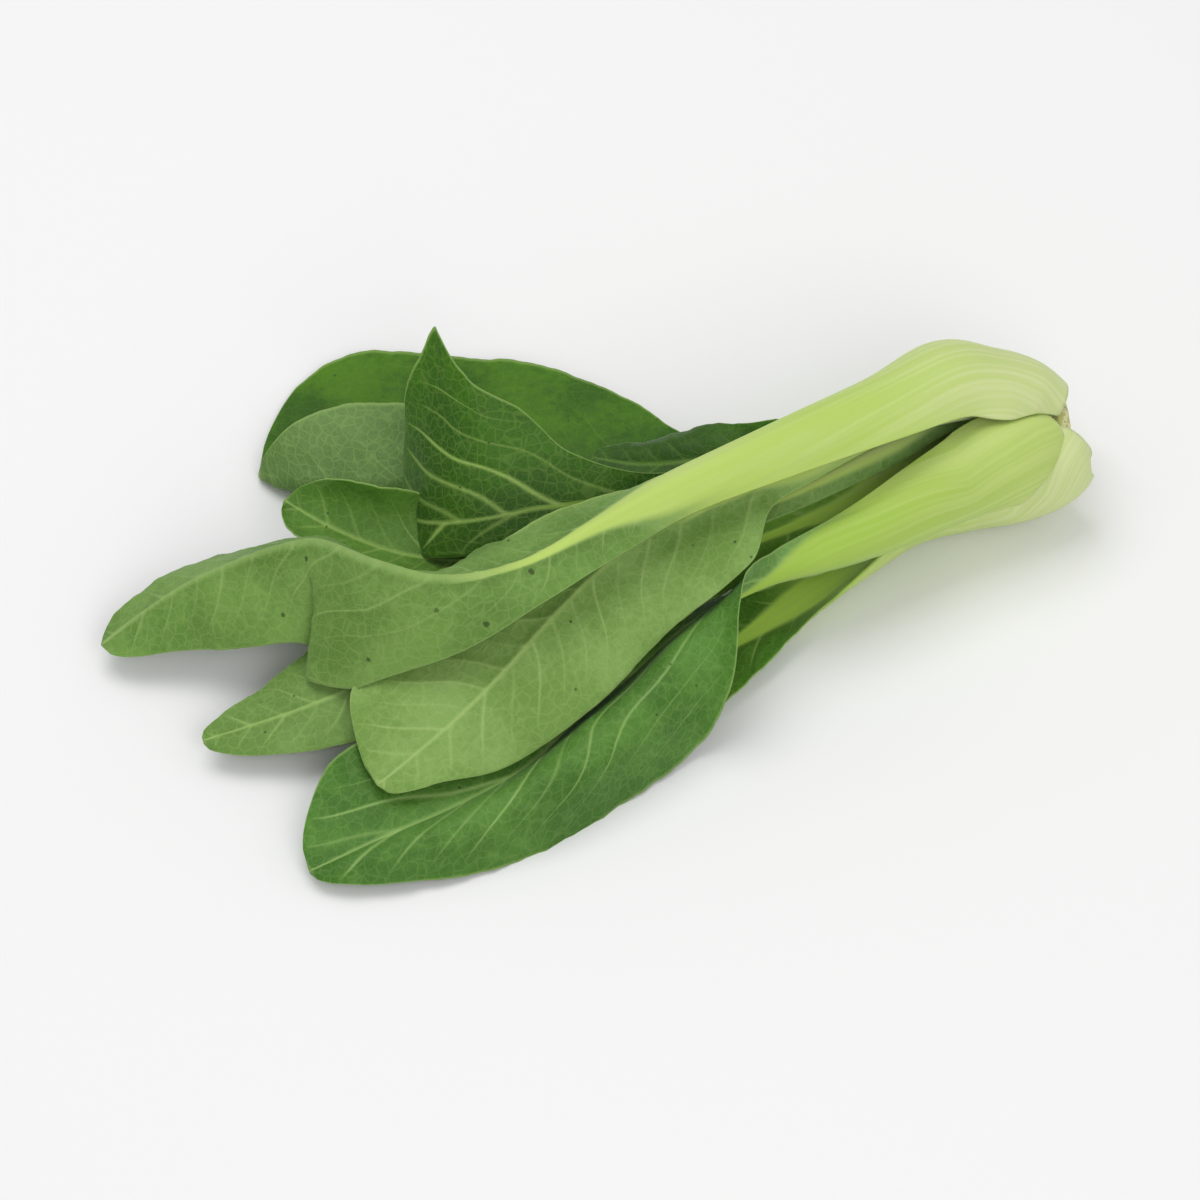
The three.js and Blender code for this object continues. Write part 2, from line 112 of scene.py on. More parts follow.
def even(x: float, y: float, z: float, out_x: float, out_y: float, out_z: float, *size: float) -> tuple:
    """Give a station with no fold and with both halves the same.

    Args:
        x, y, z: The place, in millimetres.
        out_x, out_y, out_z: The direction of the outer face.
        size: The half-width, its bend in degrees, and the rib's height and half-width.

    Returns:
        The whole row of the station.
    """
    width, bend, rib, rib_half = size
    return (x, y, z, out_x, out_y, out_z, width, width, 0, 0, bend, bend, rib, rib_half)


def foot(along: float, angle: float, radius: float, *size: float) -> tuple:
    """Give an even station beside the bulb, placed as at() does and sized as even() does."""
    return even(*at(along, angle, radius), *size)


def smooth(x: Grid) -> Grid:
    """Ease from 0 to 1 as x goes from 0 to 1."""
    t = np.clip(x, 0.0, 1.0)
    return t * t * (3.0 - 2.0 * t)


def linear(colour: Colour) -> tuple[float, float, float, float]:
    """Turn a colour as the eye names it, 0 to 255, into scene light.

    Args:
        colour: Red, green and blue.

    Returns:
        The same colour as four numbers, the last for full cover.
    """
    parts = [v / 255.0 for v in colour]
    light = [p / 12.92 if p <= 0.04045 else ((p + 0.055) / 1.055) ** 2.4 for p in parts]
    return (*light, 1.0)


class Wiring:
    """Adds nodes to one tree and links them, with short calls for the common ones."""

    def __init__(self, tree: bpy.types.NodeTree) -> None:
        """Keep the tree that the nodes go into."""
        self.tree = tree

    def fill(self, node: bpy.types.Node, inputs: dict) -> bpy.types.Node:
        """Link or set a node's inputs, each given by its name or number.

        Args:
            node: The node to fill.
            inputs: Input names or numbers, each with a socket to link or a value.

        Returns:
            The same node.
        """
        for key, value in inputs.items():
            if isinstance(value, Socket):
                self.tree.links.new(value, node.inputs[key])
            else:
                node.inputs[key].default_value = value
        return node

    def add(self, kind: str, inputs: dict | None = None, **settings: object) -> bpy.types.Node:
        """Add one node.

        Args:
            kind: Blender's name of the node type.
            inputs: Input names or numbers, each with a socket to link or a value.
            settings: The node's own properties.

        Returns:
            The new node.
        """
        node = self.tree.nodes.new(kind)
        for name, value in settings.items():
            setattr(node, name, value)
        return self.fill(node, inputs or {})

    def math(self, operation: str, first: object, second: object = 0.0) -> Socket:
        """Work out one sum of two numbers or sockets."""
        return self.add("ShaderNodeMath", {0: first, 1: second}, operation=operation).outputs[0]

    def plus(self, first: object, *others: object) -> Socket:
        """Add numbers or sockets to the first, one after another."""
        return reduce(lambda a, b: self.math("ADD", a, b), others, first)

    def times(self, first: object, *others: object) -> Socket:
        """Multiply the first by numbers or sockets, one after another."""
        return reduce(lambda a, b: self.math("MULTIPLY", a, b), others, first)

    def ease(self, value: object, low: float, high: float, to_low: float = 0.0,
             to_high: float = 1.0) -> Socket:
        """Map a value smoothly from low..high to to_low..to_high."""
        inputs = {"Value": value, "From Min": low, "From Max": high, "To Min": to_low, "To Max": to_high}
        return self.add("ShaderNodeMapRange", inputs, interpolation_type="SMOOTHSTEP").outputs[0]

    def mix(self, factor: object, first: Socket | Colour, second: Socket | Colour) -> Socket:
        """Mix two colours, each a socket or a colour as the eye names it.

        Args:
            factor: 0 for the first and 1 for the second.
            first: The first colour.
            second: The second colour.

        Returns:
            The mixed colour.
        """
        node = self.add("ShaderNodeMix", {0: factor}, data_type="RGBA")
        for key, value in ((6, first), (7, second)):
            self.fill(node, {key: value if isinstance(value, Socket) else linear(value)})
        return node.outputs[2]

    def vector(self, x: object, y: object, z: object = 0.0) -> Socket:
        """Join three numbers into a vector."""
        return self.add("ShaderNodeCombineXYZ", {0: x, 1: y, 2: z}).outputs[0]

    def vectors(self, operation: str, inputs: dict, result: int = 0) -> Socket:
        """Work out one sum of vectors, result 0 for a vector and 1 for a number."""
        return self.add("ShaderNodeVectorMath", inputs, operation=operation).outputs[result]

    def noise(self, vector: object, scale: float, detail: float = 2.0, result: int = 0) -> Socket:
        """Soft noise, from about 0.3 to 0.7, result 0 for a number and 1 for a colour."""
        inputs = {"Vector": vector, "Scale": scale, "Detail": detail}
        return self.add("ShaderNodeTexNoise", inputs).outputs[result]

    def read(self, name: str) -> tuple[Socket, ...]:
        """Read a vector that the mesh holds at each point, as three numbers."""
        held = self.add("ShaderNodeAttribute", attribute_name=name).outputs["Vector"]
        return tuple(self.add("ShaderNodeSeparateXYZ", {0: held}).outputs)

    def place_group(self, tree: bpy.types.NodeTree, inputs: dict) -> dict[str, Socket]:
        """Place a shared group with its own values and give its outputs by name."""
        node = self.add("ShaderNodeGroup", node_tree=tree)
        return {s.name: s for s in self.fill(node, inputs).outputs}


def new_material(name: str) -> tuple[bpy.types.Material, Wiring, bpy.types.Node]:
    """Start a material and give it with its wiring and its shader.

    Args:
        name: Name of the material.

    Returns:
        The material, the wiring of its tree and its shader node.
    """
    material = bpy.data.materials.new(name)
    material.use_nodes = True
    return material, Wiring(material.node_tree), material.node_tree.nodes["Principled BSDF"]


def open_group(name: str, numbers: dict[str, float], results: list[str]) -> tuple[Wiring, dict]:
    """Start a shader node group with named number inputs and outputs.

    Args:
        name: Name of the group.
        numbers: Input names with their usual values.
        results: Output names.

    Returns:
        The wiring of the new tree, and its input sockets by name with "out" for the output node.
    """
    tree = bpy.data.node_groups.new(name, "ShaderNodeTree")
    for label, value in numbers.items():
        socket = tree.interface.new_socket(label, in_out="INPUT", socket_type="NodeSocketFloat")
        socket.default_value = value
    for label in results:
        tree.interface.new_socket(label, in_out="OUTPUT", socket_type="NodeSocketFloat")
    wiring = Wiring(tree)
    ends = {s.name: s for s in wiring.add("NodeGroupInput").outputs if s.name}
    ends["out"] = wiring.add("NodeGroupOutput")
    return wiring, ends


@dataclass
class LeafEffects:
    """The shader node groups that every leaf material shares, with scales per millimetre."""

    net_scale: float = 0.33
    fine_net_scale: float = 0.8
    speck_scale: float = 0.08
    streak_scale: float = 0.85

    def __post_init__(self) -> None:
        """Build each group once."""
        self.veins = self._veins()
        self.streaks = self._streaks()
        self.specks = self._specks()

    def _veins(self) -> bpy.types.NodeTree:
        """Side veins that leave the midrib and arch to the tip, and the fine net between them.

        Returns:
            The group's tree.
        """
        sizes = {"Along": 0.0, "Across": 0.0, "Edge": 0.0, "Spacing": 10.0, "Slope": 0.9,
                 "Arch": VEINS.arch, "Width": 0.6}
        w, ends = open_group("leaf veins", sizes, ["Side Veins", "Net"])
        along, across, edge, spacing = (ends[key] for key in ("Along", "Across", "Edge", "Spacing"))
        away = w.math("ABSOLUTE", across)
        side = w.math("SIGN", across)
        lean = w.math("SUBTRACT", along, w.times(away, ends["Slope"]))
        start = w.math("SUBTRACT", lean, w.times(away, away, ends["Arch"]))
        swing = w.plus(w.times(along, VEINS.swing_along),
                       w.plus(w.times(away, VEINS.swing_away), w.times(side, VEINS.swing_side)))
        drift = w.plus(w.times(along, VEINS.drift_along), w.times(side, VEINS.drift_side))
        phase = w.plus(w.math("DIVIDE", start, spacing), w.times(w.math("SINE", swing), VEINS.swing),
                       w.times(w.math("SINE", drift), VEINS.drift), w.times(side, VEINS.half_shift))
        number = w.math("ROUND", phase)
        apart = w.math("ABSOLUTE", w.math("SUBTRACT", phase, number))
        slim = w.times(ends["Width"], w.ease(edge, 0.0, 0.8, 1.0, 0.35))
        steep = w.math("DIVIDE", w.times(apart, spacing, VEINS.square), slim)
        line = w.math("EXPONENT", w.times(steep, steep, -1.0))
        turn = w.math("SINE", w.plus(w.times(number, VEINS.own_turn), side))
        own = w.plus(w.times(turn, VEINS.own_change), VEINS.own_usual)
        fade = w.times(w.ease(edge, 0.45, 0.95, 1.0, 0.0), own)
        place = w.vector(along, across)
        bent = w.vectors("ADD", {0: place, 1: w.noise(place, 0.3, 2.0, 1)})
        nets = []
        for scale, uneven, wide, strong in ((self.net_scale, 0.85, 0.11, 1.0),
                                            (self.fine_net_scale, 0.9, 0.14, 0.5)):
            cells = w.add("ShaderNodeTexVoronoi", {"Vector": bent, "Scale": scale, "Randomness": uneven},
                          feature="DISTANCE_TO_EDGE").outputs["Distance"]
            nets.append(w.ease(cells, 0.0, wide, strong, 0.0))
        w.fill(ends["out"], {"Side Veins": w.times(line, fade), "Net": w.math("MAXIMUM", *nets)})
        return w.tree

    def _streaks(self) -> bpy.types.NodeTree:
        """Long soft streaks that run up a stalk, and the pale bloom in long soft patches.

        Returns:
            The group's tree.
        """
        w, ends = open_group("stalk streaks", {"Along": 0.0, "Across": 0.0, "Seed": 0.0},
                             ["Streak", "Bloom", "Grain"])
        along, across, seed = (ends[key] for key in ("Along", "Across", "Seed"))
        streak = w.noise(w.vector(w.times(along, 0.012), across, seed), self.streak_scale, 3.0)
        bloom = w.noise(w.vector(w.times(along, 0.02), w.times(across, 0.22), seed), 1.0)
        grain = w.noise(w.vector(w.times(along, 0.25), across, 3.0), 3.0)
        w.fill(ends["out"], {"Streak": w.ease(streak, 0.36, 0.66), "Bloom": w.ease(bloom, 0.45, 0.72),
                             "Grain": grain})
        return w.tree

    def _specks(self) -> bpy.types.NodeTree:
        """A few small dark specks and scuffs.

        Returns:
            The group's tree.
        """
        w, ends = open_group("leaf specks", {"Along": 0.0, "Across": 0.0, "Seed": 0.0, "Size": 0.05},
                             ["Speck"])
        place = w.vector(w.plus(ends["Along"], w.times(ends["Seed"], 37.0)), ends["Across"])
        cells = w.add("ShaderNodeTexVoronoi", {"Vector": place, "Scale": self.speck_scale},
                      voronoi_dimensions="2D")
        pick = w.add("ShaderNodeSeparateColor", {0: cells.outputs["Color"]}).outputs[0]
        reach = w.times(ends["Size"], w.noise(place, 0.9, 3.0))
        near = w.ease(w.math("SUBTRACT", cells.outputs["Distance"], reach), -0.012, 0.016, 1.0, 0.0)
        w.fill(ends["out"], {"Speck": w.times(near, w.ease(pick, 0.7, 0.74))})
        return w.tree


@dataclass(frozen=True)
class LeafFinish:
    """How one leaf looks on both faces."""

    outer: Colour = (124, 158, 78)
    outer_deep: Colour = (104, 140, 60)
    outer_vein: Colour = (154, 184, 104)
    inner: Colour = (78, 118, 34)
    inner_deep: Colour = (58, 98, 18)
    inner_vein: Colour = (148, 180, 92)
    stalk: Colour = (182, 206, 104)
    stalk_foot: Colour = (204, 214, 156)
    stalk_inside: Colour = (122, 160, 54)
    stalk_streak: Colour = (152, 182, 74)
    speck: Colour = (50, 66, 28)
    vein_spacing: float = 10.0
    vein_slope: float = 0.9
    vein_width: float = 0.5
    vein_strength: float = 0.75
    foot_from: float = 4.0
    foot_to: float = 95.0
    blemish: float = 0.05
    sheen: float = 0.04
    seed: float = 0.0

    def material(self, name: str, effects: LeafEffects) -> bpy.types.Material:
        """Build the leaf's material.

        Args:
            name: Name of the material.
            effects: The shared node groups.

        Returns:
            The finished material.
        """
        material, w, shader = new_material(name)
        along, across, edge = w.read("leaf_place")
        stalk, back, rib = w.read("leaf_kind")
        place = {"Along": along, "Across": across}
        veins = w.place_group(effects.veins, {**place, "Edge": edge, "Spacing": self.vein_spacing,
                              "Slope": self.vein_slope, "Width": self.vein_width})
        streaks = w.place_group(effects.streaks, {**place, "Seed": self.seed})
        specks = w.place_group(effects.specks, {**place, "Seed": self.seed, "Size": self.blemish})
        mottle = w.noise(w.vector(along, across, self.seed + 5.0), 0.5, 3.0)
        blade = self._blade(w, veins, mottle, back, (along, across, edge))
        fresh = self._stalk(w, streaks, back, along)
        thin_rib = w.mix(back, self.inner_vein, self.outer_vein)
        middle = w.mix(stalk, thin_rib, fresh)
        colour = w.mix(w.math("MAXIMUM", stalk, w.times(rib, 0.75)), blade, middle)
        colour = w.mix(w.times(specks["Speck"], w.ease(stalk, 0.0, 0.6, 0.8, 0.0)), colour, self.speck)
        rough = w.plus(w.times(back, 0.12), w.times(stalk, -0.1), w.times(mottle, 0.16), 0.4)
        relief = w.plus(w.times(veins["Net"], 0.6), w.times(mottle, 0.5))
        height = w.add("ShaderNodeMix", {0: stalk, 2: relief, 3: w.times(streaks["Grain"], 0.7)}).outputs[0]
        bump = w.add("ShaderNodeBump", {"Height": height, "Strength": 0.35, "Distance": 0.0003})
        w.fill(shader, {
            "Base Color": colour, "Roughness": rough, "Normal": bump.outputs[0],
            "Specular IOR Level": 0.2,
            "Sheen Weight": self.sheen, "Sheen Roughness": 0.45, "Sheen Tint": (0.78, 0.92, 0.86, 1.0),
            "Subsurface Weight": 0.12, "Subsurface Radius": (0.5, 1.0, 0.25), "Subsurface Scale": 0.003,
        })
        return material

    def _blade(self, w: Wiring, veins: dict[str, Socket], mottle: Socket, back: Socket,
               place: tuple[Socket, Socket, Socket]) -> Socket:
        """Colour both faces of the blade, with its net, its side veins and its pale rim.

        Args:
            w: The wiring of the leaf's material.
            veins: The outputs of the vein group.
            mottle: Fine soft noise.
            back: 0 on the inner face and 1 on the outer.
            place: Along, across and nearness to the margin.

        Returns:
            The blade's colour.
        """
        along, across, edge = place
        flesh = w.noise(w.vector(along, across, self.seed), 0.045, 3.0)
        tone = w.ease(w.plus(flesh, w.times(w.math("SUBTRACT", mottle, 0.5), 0.35)), 0.32, 0.68)
        line = w.times(veins["Side Veins"], self.vein_strength)
        faces = []
        for deep, light, vein, net in ((self.inner_deep, self.inner, self.inner_vein, 0.14),
                                       (self.outer_deep, self.outer, self.outer_vein, 0.22)):
            netted = w.mix(w.times(veins["Net"], net), w.mix(tone, deep, light), vein)
            faces.append(w.mix(line, netted, vein))
        return w.mix(w.times(w.ease(edge, 0.965, 0.995), 0.5), w.mix(back, *faces), self.outer_vein)

    def _stalk(self, w: Wiring, streaks: dict[str, Socket], back: Socket, along: Socket) -> Socket:
        """Colour the stalk from its pale foot up, round outside and grooved inside.

        Args:
            w: The wiring of the leaf's material.
            streaks: The outputs of the streak group.
            back: 0 on the inner face and 1 on the outer.
            along: Distance along the midrib.

        Returns:
            The stalk's colour.
        """
        streak = streaks["Streak"]
        rise = w.ease(w.plus(along, w.times(streak, 22.0)), self.foot_from, self.foot_to)
        fresh = w.mix(rise, self.stalk_foot, self.stalk)
        fresh = w.mix(w.times(streaks["Bloom"], 0.25), fresh, self.stalk_foot)
        # Some leaves set stalk_inside paler than its own green: painted light in a shaded groove.
        groove = w.mix(w.times(streak, 0.3), self.stalk_inside, self.stalk)
        groove = w.mix(rise, self.stalk_foot, groove)
        return w.mix(w.times(streak, 0.14), w.mix(back, groove, fresh), self.stalk_streak)


class PieceTree:
    """A Geometry Nodes tree with named inputs, and the way to run it on a piece."""

    def __init__(self, name: str, kinds: dict[str, str]) -> None:
        """Start the tree.

        Args:
            name: Name of the tree.
            kinds: Names of its inputs, each with its kind, besides the piece and its skin.
        """
        self.tree = bpy.data.node_groups.new(name, "GeometryNodeTree")
        face = self.tree.interface
        face.new_socket("Piece", in_out="INPUT", socket_type="NodeSocketGeometry")
        self.keys: dict[str, str] = {}
        for label, kind in {**kinds, "Skin": "Material"}.items():
            socket = face.new_socket(label, in_out="INPUT", socket_type=f"NodeSocket{kind}")
            self.keys[label] = socket.identifier
        face.new_socket("Piece", in_out="OUTPUT", socket_type="NodeSocketGeometry")
        self.wiring = Wiring(self.tree)
        self.given = self.wiring.add("NodeGroupInput").outputs

    def close(self, shape: Socket) -> None:
        """End the tree: make every copy real, set the skin and give the result.

        Args:
            shape: The geometry that the tree has made.
        """
        w = self.wiring
        whole = w.add("GeometryNodeRealizeInstances", {0: shape}).outputs[0]
        dressed = w.add("GeometryNodeSetMaterial", {"Geometry": whole, "Material": self.given["Skin"]})
        w.add("NodeGroupOutput", {0: dressed.outputs[0]})

    def apply(self, piece: Piece, **values: object) -> Piece:
        """Run the tree on a piece and leave it a plain mesh.

        Args:
            piece: The piece that the tree starts from.
            values: The tree's inputs by name, with _ for a space.

        Returns:
            The same object with its finished mesh.
        """
        modifier = piece.modifiers.new("tree", "NODES")
        modifier.node_group = self.tree
        for label, value in values.items():
            modifier[self.keys[label.replace("_", " ")]] = value
        bpy.context.view_layer.update()
        ready = piece.evaluated_get(bpy.context.evaluated_depsgraph_get())
        mesh = bpy.data.meshes.new_from_object(ready)
        piece.modifiers.clear()
        old = piece.data
        piece.data = mesh
        mesh.name = piece.name
        bpy.data.meshes.remove(old)
        mesh.shade_smooth()
        return piece


class VeinRelief(PieceTree):
    """Lifts the side veins, and the flesh between them, off a blade."""

    def __init__(self) -> None:
        """Build the tree once, with its heights as named inputs."""
        super().__init__("vein relief", {"Vein Height": "Float", "Flesh Height": "Float"})
        w = self.wiring
        lifts = []
        for lift, height in (("vein_lift", "Vein Height"), ("flesh_lift", "Flesh Height")):
            held = w.add("GeometryNodeInputNamedAttribute", {"Name": lift}, data_type="FLOAT").outputs[0]
            lifts.append(w.times(held, self.given[height]))
        away = w.vectors("SCALE", {0: w.add("GeometryNodeInputNormal").outputs[0], 3: w.plus(*lifts)})
        moved = w.add("GeometryNodeSetPosition", {"Geometry": self.given["Piece"], "Offset": away})
        self.close(moved.outputs[0])


def mesh_object(name: str, points: Grid, quads: Grid) -> Piece:
    """Make an object in the scene from points in metres and four-sided faces.

    Args:
        name: Name of the piece.
        points: One row for each point.
        quads: One row of four point numbers for each face.

    Returns:
        The new object.
    """
    mesh = bpy.data.meshes.new(name)
    mesh.from_pydata(points.tolist(), [], quads.tolist())
    mesh.update()
    piece = bpy.data.objects.new(name, mesh)
    bpy.context.scene.collection.objects.link(piece)
    return piece


@dataclass
class Leaf:
    """One leaf: stalk and blade in one sheet, given by stations from its foot to its tip.

    Each station holds the place, the direction of the outer face, then for the plus and the
    minus half the width, the fold at the midrib and the bend across the half in degrees,
    and last the height and half-width of the rib. All lengths are in millimetres.
    """

    name: str
    stations: tuple[tuple[float, ...], ...]
    finish: LeafFinish
    turn: tuple[float, float, float, float] = (0.5, 0.5, 0.5, 0.5)
    wave: float = 0.6
    frill: float = 0.2
    vein_height: float = 0.35
    flesh_height: float = 0.25
    grid: float = 0.95
    thick: float = 0.5
    thinner_margin: float = 0.35
    lift_off: float = 0.35
    tip_round: float = 0.9
    least_width: float = 0.3
    least_rib: tuple[float, float] = (0.3, 0.8)
    inner_relief: float = 0.35

    def build(self, relief: VeinRelief, effects: LeafEffects) -> Piece:
        """Make the leaf as one closed sheet, raise its veins and dress it.

        Args:
            relief: The tree that lifts the veins.
            effects: The shader groups that all leaves share.

        Returns:
            The finished leaf, riding on the frame in place of its solid.
        """
        rows = self._walk_midrib()
        halves = [self._half(rows, sign, k) for k, sign in enumerate((1.0, -1.0))]
        sheet = {key: np.concatenate((halves[0][key][:, ::-1], halves[1][key][:, 1:]), axis=1)
                 for key in halves[0]}
        piece = self._mesh(sheet)
        self._mark(piece.data, sheet)
        relief.apply(piece, Vein_Height=self.vein_height * MM, Flesh_Height=self.flesh_height * MM,
                     Skin=self.finish.material(self.name, effects))
        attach(piece, "root")
        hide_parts(self.name)
        return piece

    def _walk_midrib(self) -> dict[str, Grid]:
        """Sample the stations evenly along the midrib, with the frame of each section.

        Returns:
            The stations' values, places, directions and distances at each sample.
        """
        rows = np.array(self.stations)
        last = len(rows) - 1
        fine = np.linspace(0.0, last, 60 * last + 1)
        line = self._curve(rows, fine)[:, :3]
        length = np.concatenate(([0.0], np.cumsum(np.linalg.norm(np.diff(line, axis=0), axis=1))))
        count = int(length[-1] / self.grid) + 1
        position = np.interp(np.linspace(0.0, length[-1], count), length, fine)
        values = self._curve(rows, position)
        step = 0.02
        ahead = self._curve(rows, np.minimum(position + step, last))
        behind = self._curve(rows, np.maximum(position - step, 0.0))
        tangent = unit(ahead[:, :3] - behind[:, :3])
        outer = values[:, 3:6]
        outer = unit(outer - tangent * np.sum(outer * tangent, axis=1, keepdims=True))
        return {"values": values, "position": position, "outer": outer,
                "side": np.cross(tangent, outer), "along": np.interp(position, fine, length)}

    def _curve(self, rows: Grid, position: Grid) -> Grid:
        """Follow the smooth curve through the stations at the given positions.

        Args:
            rows: The stations.
            position: Where to read, 0 at the first station and rising by 1 for each.

        Returns:
            One row of values for each position.
        """
        last = len(rows) - 1
        cell = np.minimum(np.floor(position).astype(int), last - 1)
        t = (position - cell)[:, None]
        a, b, c, d = (rows[np.clip(cell + i, 0, last)] for i in (-1, 0, 1, 2))
        return 0.5 * (2 * b + (c - a) * t + (2 * a - 5 * b + 4 * c - d) * t * t
                      + (3 * b - a - 3 * c + d) * t * t * t)

    def _half(self, rows: dict[str, Grid], sign: float, k: int) -> dict[str, Grid]:
        """Walk one half of every section outwards from the midrib.

        Args:
            rows: The sampled midrib.
            sign: 1 for the plus half and -1 for the minus half.
            k: 0 for the plus half and 1 for the minus half.

        Returns:
            Grids over the half: the inner and outer skins and what the material reads.
        """
        values = rows["values"]
        left = np.clip((len(self.stations) - 1 - rows["position"]) / self.tip_round, 0.0, 1.0)
        width = np.maximum(self.least_width, values[:, 6 + k] * np.sqrt(1 - (1 - left) ** 2))[:, None]
        fold, bend = values[:, 8 + k][:, None], values[:, 10 + k][:, None]
        rib_high = np.maximum(self.least_rib[0], values[:, 12])[:, None]
        rib_wide = np.maximum(self.least_rib[1], values[:, 13])[:, None]
        columns = int(np.max(width) / self.grid) + 2
        q = np.linspace(0.0, 1.0, columns)[None, :]
        centre, spread = self.turn[2 * k], self.turn[2 * k + 1]
        angle = np.radians(fold + bend * smooth((q - centre + spread) / (2 * spread)))
        side, outer = rows["side"][:, None, :], rows["outer"][:, None, :]
        cos, sin = np.cos(angle)[..., None], np.sin(angle)[..., None]
        outward = side * sign * cos - outer * sin
        normal = outer * cos + side * sign * sin
        steps = (outward[:, :-1] + outward[:, 1:]) * 0.5 * (width / (columns - 1))[..., None]
        reach = np.concatenate((np.zeros_like(steps[:, :1]), np.cumsum(steps, axis=1)), axis=1)
        away = q * width
        along = rows["along"][:, None] + 0.0 * away
        stalk = smooth((rib_wide - 3.0) / 4.0)
        ripple = self.wave * q * q * (1 - stalk) * np.sin(rows["position"][:, None] * 2.1 + 1.3 * sign)
        ripple = ripple + self._frill(along, q, sign) * (1 - stalk)
        firm = smooth((rib_wide - 2.5) / 3.0)
        rib = (0.4 + 0.6 * firm) * rib_high * np.exp(-(away / (rib_wide * (0.6 + 0.4 * firm))) ** 2)
        thick = self.thick * (1 - self.thinner_margin * q ** 4) + rib
        inner = values[:, None, :3] + reach + normal * (ripple + self.lift_off * (1 - stalk))[..., None]
        all_stalk = smooth((rib_wide - 4.2) / 2.0)
        near_rib = 1 - smooth((away / (rib_wide * (0.22 + 0.88 * firm)) - 0.7) / 0.6)
        lift, flesh = self._veins(along, away * sign, q)
        blade = 1 - np.maximum(all_stalk, near_rib)
        return {"inner": inner, "skin": inner + normal * thick[..., None], "along": along,
                "across": away * sign, "q": q + 0 * away, "rib": near_rib,
                "stalk": np.maximum(all_stalk + 0 * q, near_rib * smooth((rib_wide - 1.8) / 1.4)),
                "lift": lift * blade, "flesh": flesh * blade}

    def _frill(self, along: Grid, q: Grid, sign: float) -> Grid:
        """Small uneven ripples of the margin.

        Args:
            along: Distance along the midrib.
            q: Share of the way out to the margin.
            sign: 1 for the plus half and -1 for the minus half.

        Returns:
            How far the skin moves outwards.
        """
        shape = (np.sin(along * 0.52 + sign) + 0.6 * np.sin(along * 0.93 + 2.1 * sign + self.finish.seed)
                 + 0.35 * np.sin(along * 1.9 + sign * self.finish.seed))
        return self.frill * q ** 5 * shape

    def _veins(self, along: Grid, across: Grid, q: Grid) -> tuple[Grid, Grid]:
        """Height of the side veins and of the flesh between them, by the material's own rule.

        Args:
            along: Distance along the midrib.
            across: Distance from the midrib, negative on the minus half.
            q: Share of the way out to the margin.

        Returns:
            The lift of the veins and of the flesh, each from 0 to about 1.
        """
        look, rule = self.finish, VEINS
        away, side = np.abs(across), np.sign(across)
        phase = (along - away * look.vein_slope - away * away * rule.arch) / look.vein_spacing
        swing = along * rule.swing_along + away * rule.swing_away + side * rule.swing_side
        phase = phase + rule.swing * np.sin(swing) + side * rule.half_shift
        phase = phase + rule.drift * np.sin(along * rule.drift_along + side * rule.drift_side)
        number = np.round(phase)
        apart = np.abs(phase - number)
        wide = (look.vein_width + 0.35) * (1 - 0.6 * q)
        own = rule.own_usual + rule.own_change * np.sin(rule.own_turn * number + side)
        fade = (1 - smooth((q - 0.45) / 0.5)) * own
        line = np.exp(-(apart * look.vein_spacing * rule.square / wide) ** 2)
        return line * fade, np.sin(np.pi * apart) * fade * smooth(away / 5.0)

    def _mesh(self, sheet: dict[str, Grid]) -> Piece:
        """Join the two skins along the margins and ends into one closed mesh.

        Args:
            sheet: Grids over the whole leaf.

        Returns:
            The smooth leaf.
        """
        rows, columns = sheet["q"].shape
        points = np.concatenate((sheet["inner"].reshape(-1, 3), sheet["skin"].reshape(-1, 3)))
        near = np.arange(rows * columns).reshape(rows, columns)
        far = near + rows * columns
        corners = [(g[:-1, :-1], g[1:, :-1], g[1:, 1:], g[:-1, 1:]) for g in (near, far)]
        a, b, c, d = corners[1]
        rims = [np.concatenate((g[:, 0], g[-1, 1:], g[::-1, -1][1:], g[0, ::-1][1:-1])) for g in (near, far)]
        after = [np.roll(rim, -1) for rim in rims]
        quads = np.concatenate([np.stack(corners[0], -1).reshape(-1, 4),
                                np.stack((a, d, c, b), -1).reshape(-1, 4),
                                np.stack((after[0], rims[0], rims[1], after[1]), -1)])
        points = (points - ORIGIN) * MM
        return mesh_object(self.name, points, facing_out(points, quads))

    def _mark(self, mesh: bpy.types.Mesh, sheet: dict[str, Grid]) -> None:
        """Write on each point what the material and the relief read.

        Args:
            mesh: The mesh of the leaf.
            sheet: Grids over the whole leaf.
        """
        both = {key: np.concatenate((grid.ravel(), grid.ravel()))
                for key, grid in sheet.items() if key not in ("inner", "skin")}
        half = len(both["q"]) // 2
        back = np.repeat((float(Face.INNER.value), float(Face.OUTER.value)), half)
        store(mesh, "leaf_place", both["along"], both["across"], both["q"])
        store(mesh, "leaf_kind", both["stalk"], back, both["rib"])
        store(mesh, "vein_lift", both["lift"] * np.repeat((-self.inner_relief, 1.0), half))
        store(mesh, "flesh_lift", both["flesh"] * np.repeat((1.0, -1.0), half))


def unit(vectors: Grid) -> Grid:
    """Scale each row to length one."""
    return vectors / np.linalg.norm(vectors, axis=1, keepdims=True)


def facing_out(points: Grid, quads: Grid) -> Grid:
    """Turn a closed shape's faces over if they enclose it from the wrong side.

    Args:
        points: One row for each point.
        quads: One row of four point numbers for each face.

    Returns:
        The faces, pointing outwards.
    """
    a, b, c, d = (points[quads[:, i]] for i in range(4))
    first = np.einsum("ij,ij->i", a, np.cross(b, c))
    second = np.einsum("ij,ij->i", a, np.cross(c, d))
    return quads[:, ::-1] if np.sum(first + second) < 0 else quads


